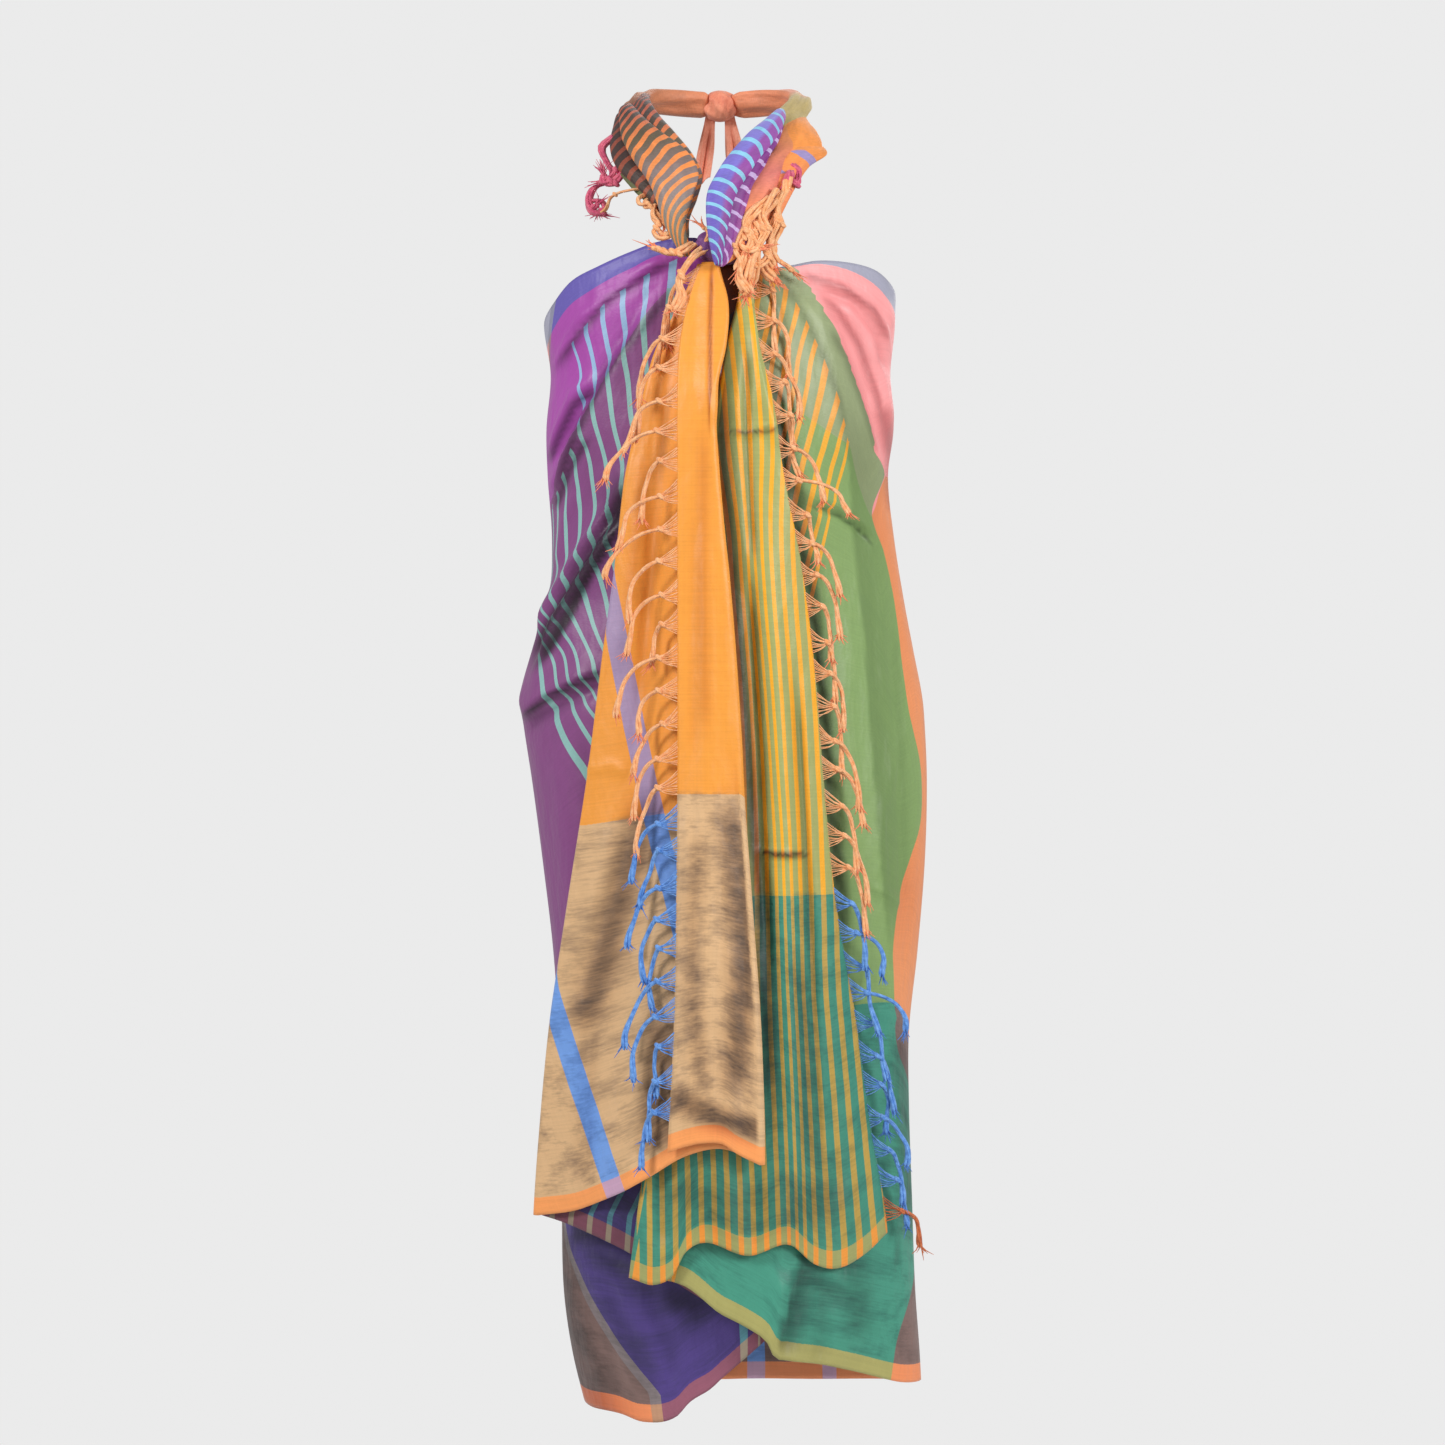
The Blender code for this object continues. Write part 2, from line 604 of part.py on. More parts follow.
def new_material(name, cloth):
    material = bpy.data.materials.new(name)
    material.use_nodes = True
    shader = material.node_tree.nodes["Principled BSDF"]
    shader.inputs["Base Color"].default_value = cloth.colour
    shader.inputs["Roughness"].default_value = cloth.roughness
    shader.inputs["Metallic"].default_value = 0.0
    return material


def add_object(name, bm, cloth, collection):
    mesh = bpy.data.meshes.new(name)
    bm.to_mesh(mesh)
    bm.free()
    mesh.shade_smooth()
    obj = bpy.data.objects.new(name, mesh)
    obj.data.materials.append(new_material(name + "_cloth", cloth))
    collection.objects.link(obj)
    return obj


def add_wall(obj, thickness):
    """Gives an open cloth surface its thickness, half to each side."""
    wall = obj.modifiers.new("wall", "SOLIDIFY")
    wall.thickness = thickness * MM
    wall.offset = 0.0


def cloth_sheet(name, form, columns, cloth, collection, rows=ROWS):
    """A stretch of cloth: a grid laid on its form, then given its wall."""
    bm = bmesh.new()
    bmesh.ops.create_grid(bm, x_segments=columns, y_segments=rows, size=0.5)
    spots = np.array([v.co for v in bm.verts])
    x, y, drop = form(np.clip(spots[:, 0] + 0.5, 0, 1), np.clip(0.5 - spots[:, 1], 0, 1))
    for v, px, py, pd in zip(bm.verts, x, y, drop):
        v.co = Vector((px, py, -pd)) * MM
    obj = add_object(name, bm, cloth, collection)
    add_wall(obj, WALL)
    return obj


def roll_section(rails, share):
    """The two edges and the thickness of a neck roll at a share of its length."""
    places = np.linspace(0, 1, len(rails))
    row = {name: smooth_read(places, [getattr(r, name) for r in rails], share) for name in Rail._fields}
    inner = Vector((row["inner_x"], row["inner_y"], -row["inner_drop"]))
    outer = Vector((row["outer_x"], row["outer_y"], -row["outer_drop"]))
    return inner, outer, row["thickness"]


def roll_points(rails, share, points):
    """A section of a roll: an ellipse between its two edges, ridged by pleats that run along it."""
    inner, outer, thickness = roll_section(rails, share)
    ahead = roll_section(rails, min(share + 0.02, 1))
    behind = roll_section(rails, max(share - 0.02, 0))
    along = ((ahead[0] + ahead[1]) - (behind[0] + behind[1])).normalized()
    across = outer - inner
    centre = (inner + outer) / 2
    normal = along.cross(across).normalized()
    found = []
    for angle in np.linspace(0, 2 * pi, points, endpoint=False):
        ridge = 1 + ROLL_PLEAT_DEPTH * np.cos(ROLL_PLEATS * angle)
        offset = across * (np.cos(angle) / 2) + normal * (np.sin(angle) * thickness / 2 * ridge)
        found.append((centre + offset) * MM)
    return found


def cut_flat(bm, place, facing):
    """Cuts a closed roll with a plane, drops what lies beyond it and caps the cut."""
    geometry = bm.verts[:] + bm.edges[:] + bm.faces[:]
    cut = bmesh.ops.bisect_plane(bm, geom=geometry, plane_co=place, plane_no=facing, clear_outer=True)
    edges = [e for e in cut["geom_cut"] if isinstance(e, bmesh.types.BMEdge)]
    bmesh.ops.holes_fill(bm, edges=edges)


def neck_roll(name, rails, nape_side, cloth, collection):
    """A roll lofted between its edges, cut flat where it meets the chest knot and nape knot."""
    points = ROLL_POINTS
    bm = bmesh.new()
    shares = np.linspace(0, 1, ROLL_RINGS)
    loops = [[bm.verts.new(p) for p in roll_points(rails, share, points)] for share in shares]
    for low, high in zip(loops[:-1], loops[1:]):
        for i in range(points):
            j = (i + 1) % points
            bm.faces.new((low[i], low[j], high[j], high[i]))
    bm.faces.new(list(reversed(loops[0])))
    bm.faces.new(loops[-1])
    bmesh.ops.recalc_face_normals(bm, faces=bm.faces[:])
    cut_flat(bm, Vector((0, 0, -(KNOT_TOP - KNOT_SEAT) * MM)), Vector((0, 0, -1)))
    nape_x = nape_side * (NAPE_KNOT_HALF + KNOT_SEAT) * MM
    cut_flat(bm, Vector((nape_x, 0, 0)), Vector((-nape_side, 0, 0)))
    bmesh.ops.recalc_face_normals(bm, faces=bm.faces[:])
    bmesh.ops.triangulate(bm, faces=[f for f in bm.faces if len(f.verts) > 4])
    return add_object(name, bm, cloth, collection)


def lump(name, sections, cloth, collection, points=20):
    """A knot: rings of the given centres, half sizes and directions, closed at both ends."""
    bm = bmesh.new()
    loops = []
    for centre, first, second in sections:
        ring = []
        for angle in np.linspace(0, 2 * pi, points, endpoint=False):
            ridge = 1 + 0.07 * np.cos(4 * angle)
            offset = Vector(first) * (np.cos(angle) * ridge) + Vector(second) * (np.sin(angle) * ridge)
            ring.append(bm.verts.new((Vector(centre) + offset) * MM))
        loops.append(ring)
    for low, high in zip(loops[:-1], loops[1:]):
        for i in range(points):
            j = (i + 1) % points
            bm.faces.new((low[i], low[j], high[j], high[i]))
    bm.faces.new(list(reversed(loops[0])))
    bm.faces.new(loops[-1])
    bmesh.ops.recalc_face_normals(bm, faces=bm.faces[:])
    return add_object(name, bm, cloth, collection)


def chest_knot(collection):
    """The crossing at the chest: a gathered lump between the rolls and the hanging panels."""
    sections = []
    for share, size in ((0, 0.78), (0.15, 0.95), (0.4, 1.0), (0.65, 1.0), (0.85, 0.93), (1, 0.8)):
        drop = mix(KNOT_TOP, KNOT_BOTTOM, share)
        centre = (KNOT_X, KNOT_Y, -drop)
        sections.append((centre, (KNOT_HALF_WIDTH * size, 0, 0), (0, KNOT_HALF_DEPTH * size, 0)))
    return lump("chest_knot", sections, PURPLE, collection)


def nape_knot(collection):
    """The tie at the back of the neck, which the photographed side hides."""
    sections = []
    for share, size in ((-1, 0.8), (-0.6, 1.08), (0, 1.2), (0.6, 1.08), (1, 0.8)):
        centre = (share * NAPE_KNOT_HALF, 15.0, 0.0)
        sections.append((centre, (0, 12 * size, -5 * size), (0, 5 * size, 13 * size)))
    return lump("nape_knot", sections, CORAL, collection, points=16)


def edge_of(form, share, inside):
    """The edge of a sheet at its rows, and the direction that leads out of the cloth there."""
    down = np.linspace(0, 1, ROWS + 1)
    edge = np.stack(form(np.full(ROWS + 1, share), down), axis=1)
    inner = np.stack(form(np.full(ROWS + 1, inside), down), axis=1)
    out = edge - inner
    return edge, out / np.linalg.norm(out, axis=1)[:, None]


def roll_edge(rails):
    """The outer edge of a neck roll at its rings, and the direction that leads out of it."""
    edge, out = [], []
    for share in np.linspace(0, 1, ROLL_RINGS):
        inner, outer, _ = roll_section(rails, share)
        edge.append((outer.x, outer.y, -outer.z))
        away = (outer - inner).normalized()
        out.append((away.x, away.y, -away.z))
    return np.array(edge), np.array(out)


def fringe_comb(name, edge, out, fringe, beneath, cloth, collection):
    """A backing strip along an edge, with tassels that hang from it in front of the cloth."""
    lengths = np.concatenate([[0], np.cumsum(np.linalg.norm(np.diff(edge, axis=0), axis=1))])
    bm = bmesh.new()

    def read(place):
        root = np.array([np.interp(place, lengths, edge[:, k]) for k in range(3)])
        away = np.array([np.interp(place, lengths, out[:, k]) for k in range(3)])
        return root, away / np.linalg.norm(away)

    def new_vertex(point):
        return bm.verts.new(Vector((point[0], point[1], -point[2])) * MM)

    starts = fringe.start + fringe.pitch * np.arange(fringe.count)
    ends = starts + fringe.root
    corners = [place for place in lengths if starts[0] < place < ends[-1]]
    places = sorted(set(np.round(np.concatenate([starts, ends, corners]), 3)))
    strip = []
    for place in places:
        root, away = read(place)
        strip.append((new_vertex(root + away * FRINGE_SEAM), new_vertex(root + away * BACKING_EDGE)))
    for (a, b), (c, d) in zip(strip[:-1], strip[1:]):
        bm.faces.new((a, b, d, c))
    for i, (start, end) in enumerate(zip(starts, ends)):
        root, away = read((start + end) / 2)
        side = -1 if away[0] < 0 else 1
        edge_run = read(end)[0] - read(start)[0]
        upward = -1 if edge_run[2] < 0 else 1
        hang = np.array([edge_run[0] if upward > 0 else 0.0, 0.0, abs(edge_run[2])])
        hang = hang / np.linalg.norm(hang)
        lean = TASSEL_SWAY * (np.sin(i * 2.4) + 0.5 * np.sin(i * 1.3 + 1))
        line = [root + away * BACKING_EDGE]
        for section in TASSEL:
            out_share = section.out * (1 + lean * section.out / TASSEL[-1].out)
            point = line[0] + (np.array([side * out_share, 0.0, 0.0]) + hang * section.down) * fringe.size
            level_y = line[0][1] + away[1] * section.out
            clear_y = beneath(point[0], point[2]) - TASSEL_CLEARANCE
            settled = min(clear_y, root[1] + TASSEL_DEPTH)
            point[1] = min(mix(level_y, settled, ease(section.down / TASSEL_SETTLING)), clear_y)
            line.append(point)
        web = [v for place, (_, v) in zip(places, strip) if start - 0.01 < place < end + 0.01]
        before = None
        for k, section in enumerate(TASSEL, start=1):
            run = line[min(k + 1, len(TASSEL))] - line[k - 1]
            across = np.array([-run[2], 0.0, run[0]]) * side * upward
            across = across / np.linalg.norm(across) * section.width * fringe.size / 2
            pair = (new_vertex(line[k] - across), new_vertex(line[k] + across))
            if before is None:
                bm.faces.new([pair[0], *web, pair[1]])
            else:
                bm.faces.new((before[0], before[1], pair[1], pair[0]))
            before = pair
    bmesh.ops.recalc_face_normals(bm, faces=bm.faces[:])
    obj = add_object(name, bm, cloth, collection)
    add_wall(obj, TASSEL_WALL)
    return obj


def beneath_right_fringe(x, drop):
    """The front of what the right end's tassels hang before."""
    return float(right_panel_y(x, drop) - fold_lift(PANEL_FOLDS, x, drop))


def beneath_left_fringe(x, drop):
    """The front of what the left end's tassels hang before."""
    return float(left_wrap_y(x, angle_at(x, drop), drop) - fold_lift(LEFT_WRAP_FOLDS, x, drop))


def beneath_right_neck(x, drop):
    """The front of the right wrap, below the neck's tassels."""
    return float(wound_point(angle_at(x, drop), drop)[1]) - NECK_FRINGE_CLEARANCE


def tie_end(side):
    """A short end of the tie at the nape. It hangs from under the knot."""
    def form(along, down):
        width = mix(TIE_TOP_WIDTH, TIE_WIDTH, ease(down * 1.6))
        x = side * TIE_APART * (1 + down) + (along - 0.5) * width
        pleat = TIE_PLEAT * np.cos((along - 0.5) * 9) * ease(down * 2)
        y = TIE_Y + TIE_RUN_BACK * down + pleat
        drop = TIE_TOP + down * (TIE_LENGTH + TIE_TIP_SLANT * np.cos(along * 3))
        return x, y, drop
    return form


def build():
    clear_scene()
    collection = bpy.data.collections.new("halter_sarong")
    bpy.context.scene.collection.children.link(collection)
    cloth_sheet("back_wrap", back_wrap, 15, BROWN, collection)
    cloth_sheet("right_wrap", right_wrap, 15, PURPLE, collection)
    cloth_sheet("left_wrap", left_wrap, 17, GREEN, collection)
    cloth_sheet("right_end", right_end, sum(RIGHT_END_COLUMNS), ORANGE, collection)
    cloth_sheet("left_end", left_end, sum(LEFT_END_COLUMNS), STRIPED, collection)
    neck_roll("right_neck_roll", RIGHT_ROLL, -1, BROWN, collection)
    neck_roll("left_neck_roll", LEFT_ROLL, 1, PURPLE, collection)
    chest_knot(collection)
    nape_knot(collection)
    cloth_sheet("right_tie_end", tie_end(-1), 4, CORAL, collection, rows=6)
    cloth_sheet("left_tie_end", tie_end(1), 4, CORAL, collection, rows=6)
    edge, out = edge_of(right_end, 0.0, 0.03)
    fringe_comb("right_end_fringe", edge, out, RIGHT_END_FRINGE, beneath_right_fringe, PEACH, collection)
    edge, out = edge_of(left_end, 1.0, 0.97)
    fringe_comb("left_end_fringe", edge, out, LEFT_END_FRINGE, beneath_left_fringe, PEACH, collection)
    edge, out = roll_edge(RIGHT_ROLL)
    fringe_comb("right_neck_fringe", edge, out, RIGHT_NECK_FRINGE, beneath_right_neck, PEACH, collection)
    edge, out = roll_edge(LEFT_ROLL)
    fringe_comb("left_neck_fringe", edge, out, LEFT_NECK_FRINGE, beneath_left_fringe, PEACH, collection)


build()
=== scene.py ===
# %% [markdown]
# # A longyi cloth tied as a halter sarong
#
# One rectangle of shot silk, with knotted fringes on both ends, is wound into a hollow dress.
# Its ends cross at the chest, hang down the front in folded panels, and their upper corners are
# rolled into a halter. The rigid model gives the place of every piece. This script lays thin,
# creased cloth over those solids and weaves its colours. It starts by loading that model.

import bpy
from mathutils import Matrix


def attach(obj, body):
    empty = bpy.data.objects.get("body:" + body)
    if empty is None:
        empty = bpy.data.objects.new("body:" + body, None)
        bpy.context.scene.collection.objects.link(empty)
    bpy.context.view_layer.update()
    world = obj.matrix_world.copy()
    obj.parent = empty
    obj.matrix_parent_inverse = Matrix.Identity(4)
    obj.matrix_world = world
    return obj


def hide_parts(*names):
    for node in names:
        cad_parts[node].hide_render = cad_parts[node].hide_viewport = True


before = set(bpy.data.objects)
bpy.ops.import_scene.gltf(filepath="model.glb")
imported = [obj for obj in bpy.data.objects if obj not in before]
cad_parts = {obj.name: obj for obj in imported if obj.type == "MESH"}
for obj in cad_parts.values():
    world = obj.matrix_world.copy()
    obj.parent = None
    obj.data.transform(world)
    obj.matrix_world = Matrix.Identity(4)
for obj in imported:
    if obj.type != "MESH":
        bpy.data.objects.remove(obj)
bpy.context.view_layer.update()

# %% [markdown]
# The tables are in millimetres, as a maker would measure the garment: drop is the depth below
# the nape, x runs towards the garment's own left, and y to the back. Numpy reads whole tables at
# once, which keeps the script quick where a loop over every point would be slow.

# %% Tools
from collections import namedtuple
from math import pi, radians

import bmesh
import bpy
import numpy as np
from mathutils import Vector

MM = 0.001
CLOTH_WALL = 0.0011
scene = bpy.context.scene


def new_piece(name, bm, smooth=True):
    """Turns a finished bmesh into a piece of the scene."""
    mesh = bpy.data.meshes.new(name)
    bm.to_mesh(mesh)
    bm.free()
    if smooth:
        mesh.shade_smooth()
    piece = bpy.data.objects.new(name, mesh)
    scene.collection.objects.link(piece)
    return piece


print("wall:", CLOTH_WALL, "m")

# %% [markdown]
# ## The camera
#
# The picture is taken level with the garment's middle, from straight ahead and from about 3.6 m
# away. A long lens does that: the frame is 1.358 m wide where the cloth's two sides are.

# %% Place the camera
CAMERA_DISTANCE = 3.6
SEAM_PLANE_Y = -0.065
FRAME_WIDTH = 1.358
camera_data = bpy.data.cameras.new("camera")
camera_data.sensor_width = 36.0
camera_data.lens = 36.0 * CAMERA_DISTANCE / FRAME_WIDTH
camera = bpy.data.objects.new("camera", camera_data)
camera.location = (0.0024, SEAM_PLANE_Y - CAMERA_DISTANCE, -0.592)
camera.rotation_euler = (radians(90), 0, 0)
scene.collection.objects.link(camera)
scene.camera = camera
print("lens:", round(camera_data.lens, 1), "mm")

# %% [markdown]
# ## The stage
#
# A plain pale floor lies below the hem. Large lamps throw soft shadows, and a pale surrounding
# fills them, which gives the even light of a catalogue picture. The surrounding is brighter to
# the camera than to the cloth, so the page stays pale while the colours stay deep.

# %% Make the floor
FLOOR_Z = -1.46
FLOOR_RADIUS = 0.82
bm = bmesh.new()
bmesh.ops.create_circle(bm, cap_ends=True, segments=96, radius=FLOOR_RADIUS)
bmesh.ops.translate(bm, verts=bm.verts, vec=(0, 0, FLOOR_Z))
floor = new_piece("floor", bm, smooth=False)
floor_paint = bpy.data.materials.new("floor_paint")
floor_paint.use_nodes = True
floor_shader = floor_paint.node_tree.nodes["Principled BSDF"]
floor_shader.inputs["Base Color"].default_value = (0.8, 0.8, 0.8, 1)
floor_shader.inputs["Roughness"].default_value = 0.9
floor.data.materials.append(floor_paint)
print("floor at:", FLOOR_Z, "m")

# %% Light the stage
Lamp = namedtuple("Lamp", "name place size power")
LAMPS = [
    Lamp("key", (-2.3, -2.1, 0.9), 0.8, 66),
    Lamp("fill", (2.3, -2.0, 0.4), 1.2, 64),
    Lamp("back", (0.6, 2.4, 0.8), 1.8, 20),
]
middle = Vector((0, -0.07, -0.6))
for lamp in LAMPS:
    data = bpy.data.lights.new(lamp.name, "AREA")
    data.size = lamp.size
    data.energy = lamp.power
    light = bpy.data.objects.new(lamp.name, data)
    light.location = lamp.place
    light.rotation_euler = (middle - Vector(lamp.place)).to_track_quat("-Z", "Y").to_euler()
    scene.collection.objects.link(light)
world = bpy.data.worlds.new("surrounding")
world.use_nodes = True
backdrop = world.node_tree.nodes["Background"]
backdrop.inputs["Color"].default_value = (0.83, 0.83, 0.83, 1)
glow = world.node_tree.nodes.new("ShaderNodeMapRange")
seen = world.node_tree.nodes.new("ShaderNodeLightPath")
glow.inputs["To Min"].default_value = 0.5
world.node_tree.links.new(seen.outputs["Is Camera Ray"], glow.inputs["Value"])
world.node_tree.links.new(glow.outputs["Result"], backdrop.inputs["Strength"])
scene.world = world
scene.view_settings.view_transform = "Standard"
print("lamps:", len(LAMPS))

# %% [markdown]
# ## The form of the wound cloth
#
# The wound cloth stands as a rounded hollow. It could be modelled as one cylinder and pushed
# into shape by hand. A table of rings is used instead: it gives the half widths and depths at
# each height, and a smooth curve is read through each column, so any point can be asked for.

# %% Read tables smoothly
def smooth_read(places, values, at):
    """A smooth curve through the table's values, read at the given places."""
    places = np.asarray(places, float)
    values = np.asarray(values, float)
    steps = np.diff(places)
    rises = np.diff(values) / steps
    slopes = np.concatenate([rises[:1], (rises[:-1] + rises[1:]) / 2, rises[-1:]])
    at = np.clip(at, places[0], places[-1])
    i = np.clip(np.searchsorted(places, at, side="right") - 1, 0, len(steps) - 1)
    t = (at - places[i]) / steps[i]
    step = steps[i]
    return (
        values[i] * (1 + 2 * t) * (1 - t) ** 2
        + values[i + 1] * t * t * (3 - 2 * t)
        + slopes[i] * step * t * (1 - t) ** 2
        - slopes[i + 1] * step * t * t * (1 - t)
    )


def column(rows, name, drop):
    """One named column of a table whose rows are given by drop."""
    return smooth_read([row.drop for row in rows], [getattr(row, name) for row in rows], drop)


def level(rows, share):
    """A top edge or a hem, read at a share of the way along its stretch."""
    return smooth_read([row.share for row in rows], [row.drop for row in rows], share)


def ease(value):
    """0 below 0 and 1 above 1, with a smooth step between."""
    value = np.clip(value, 0, 1)
    return value * value * (3 - 2 * value)


def mix(first, second, share):
    """The value that lies a share of the way from the first to the second."""
    return first + (second - first) * share


# %% The hollow that the cloth is wound into
Ring = namedtuple("Ring", "drop right_side left_side front back centre_y")
HOLLOW = [
    Ring(131, 164, 164, 100, 98, -78),
    Ring(224, 164, 163, 108, 100, -77),
    Ring(266, 158, 159, 112, 100, -76),
    Ring(318, 162, 162, 115, 98, -75),
    Ring(360, 161, 157, 112, 94, -73),
    Ring(421, 157, 163, 106, 92, -71),
    Ring(477, 160, 172, 106, 98, -69),
    Ring(524, 176, 181, 111, 108, -66),
    Ring(571, 187, 190, 117, 115, -63),
    Ring(595, 184, 192, 119, 118, -62),
    Ring(647, 176, 194, 121, 119, -62),
    Ring(722, 166, 192, 119, 117, -63),
    Ring(807, 156, 185, 115, 114, -64),
    Ring(882, 151, 177, 112, 112, -65),
    Ring(948, 149, 177, 110, 111, -65),
    Ring(1041, 148, 180, 109, 110, -65),
    Ring(1126, 146, 183, 108, 110, -65),
    Ring(1182, 138, 187, 107, 110, -65),
    Ring(1239, 124, 190, 106, 110, -65),
]


def wound_point(angle, drop):
    """A point on the hollow's wall: angle 0 is the right side, 90 the front, 180 the left side."""
    turn = np.radians(angle)
    right = column(HOLLOW, "right_side", drop)
    left = column(HOLLOW, "left_side", drop)
    front = column(HOLLOW, "front", drop)
    back = column(HOLLOW, "back", drop)
    across = np.cos(turn)
    x = -np.where(across > 0, right, left) * across
    y = column(HOLLOW, "centre_y", drop) - np.where(np.sin(turn) > 0, front, back) * np.sin(turn)
    return x, y


def angle_at(x, drop):
    """The angle at which the front of the hollow's wall is at x."""
    right = column(HOLLOW, "right_side", drop)
    left = column(HOLLOW, "left_side", drop)
    return np.degrees(np.arccos(np.clip(-x / np.where(x < 0, right, left), -1, 1)))


def lifted(x, y, angle, lift):
    """Moves a point of a wound stretch straight out of the hollow's wall."""
    turn = np.radians(angle)
    return x - lift * np.cos(turn), y - lift * np.sin(turn)


# %% [markdown]
# ## The hanging panels
#
# Down the front hang the two ends: the left end with its stripes, and over it the right end,
# which is folded back on itself twice. Their edges and folds are read at each height, and
# each layer lies a little in front of the one behind it.

# %% Edges and folds of the hanging panels
Edges = namedtuple(
    "Edges", "drop right_fringe strip_fold panel_fold inner_fold left_fold left_fringe"
)
EDGES = [
    Edges(176, -16, -4, -19, -9, 22, 29),
    Edges(211, -28, 7, -35, -5, 16, 31),
    Edges(252, -36, 6, -57, -3, 6, 36),
    Edges(302, -38, -3, -71, 0, -2, 48),
    Edges(365, -38, -1, -84, 4, -9, 57),
    Edges(446, -38, 6, -94, 7, -16, 73),
    Edges(536, -38, 14, -107, 13, -25, 85),
    Edges(644, -38, 22, -121, 20, -35, 94),
    Edges(753, -39, 30, -138, 27, -45, 105),
    Edges(861, -41, 37, -155, 33, -55, 124),
    Edges(960, -46, 40, -165, 38, -65, 138),
    Edges(1041, -50, 40, -171, 41, -75, 152),
    Edges(1104, -50, 40, -173, 44, -83, 157),
    Edges(1170, -50, 40, -173, 46, -88, 160),
]
Apron = namedtuple("Apron", "drop y")
APRON = [
    Apron(131, -181), Apron(224, -188), Apron(318, -194), Apron(421, -193), Apron(571, -191),
    Apron(722, -189), Apron(882, -187), Apron(1041, -185), Apron(1239, -184),
]
APRON_CURVE = 0.0022
HIDDEN_LAYER = 9.0
LEFT_WRAP_LAYER = 18.0
LEFT_PANEL_LAYER = 27.0
RIGHT_PANEL_LAYER = 38.0
STRIP_LAYER = 47.0
KNOT_CLOSENESS = 0.5
SPREAD_DROPS = (176.0, 300.0)
KNOT_BOTTOM = 176.0
SEAM_FADE = 14.0

# %% Top edges and hems
Level = namedtuple("Level", "share drop")
RIGHT_WRAP_TOP = [
    Level(0, 223), Level(0.23, 205), Level(0.40, 185), Level(0.55, 174),
    Level(0.69, 163), Level(0.83, 153), Level(0.91, 152), Level(1, 176.4),
]
RIGHT_WRAP_HEM = [
    Level(0, 1226), Level(0.19, 1228), Level(0.43, 1228), Level(0.55, 1233),
    Level(0.70, 1226), Level(0.76, 1212), Level(0.85, 1198), Level(0.94, 1173), Level(1, 1156),
]
LEFT_WRAP_TOP = [
    Level(0, 195), Level(0.18, 185), Level(0.37, 174), Level(0.55, 170),
    Level(0.71, 171), Level(0.83, 177), Level(0.93, 180), Level(1, 176.4),
]
LEFT_WRAP_HEM = [
    Level(0, 1209), Level(0.20, 1204), Level(0.27, 1199), Level(0.41, 1185),
    Level(0.48, 1177), Level(0.56, 1170), Level(0.592, 1166), Level(0.615, 1152),
    Level(0.66, 1140), Level(0.73, 1126), Level(0.84, 1101), Level(1, 1095),
]
BACK_TOP = [
    Level(0, 195), Level(0.11, 207), Level(0.25, 222), Level(0.5, 236),
    Level(0.75, 236), Level(0.89, 230), Level(1, 223),
]
BACK_HEM = [Level(0, 1209), Level(0.25, 1222), Level(0.5, 1228), Level(1, 1226)]
STRIP_HEM = [
    Level(0, 978), Level(0.2, 972), Level(0.37, 969), Level(0.6, 970), Level(0.74, 978), Level(1, 989),
]
PANEL_HEM = [
    Level(0, 989), Level(0.17, 975), Level(0.34, 982), Level(0.5, 1002),
    Level(0.67, 1022), Level(0.82, 1037), Level(1, 1045),
]
HIDDEN_HEM = [Level(0, 1045), Level(0.14, 1052), Level(0.4, 1073), Level(0.7, 1110), Level(1, 1150)]
LEFT_PANEL_HEM = [
    Level(0, 1096), Level(0.08, 1100), Level(0.15, 1090), Level(0.19, 1069), Level(0.45, 1073),
    Level(0.6, 1064), Level(0.70, 1084), Level(0.78, 1090), Level(0.9, 1080), Level(1, 1062),
]

# %% [markdown]
# ## Folds and creases
#
# A fold is a line in the front view. Lift is how far its ridge stands out (a trough is
# negative), and two widths say how fast it fades above or right of the line, and below or
# left of it: a small width on one side gives the sharp lip of a pleat.

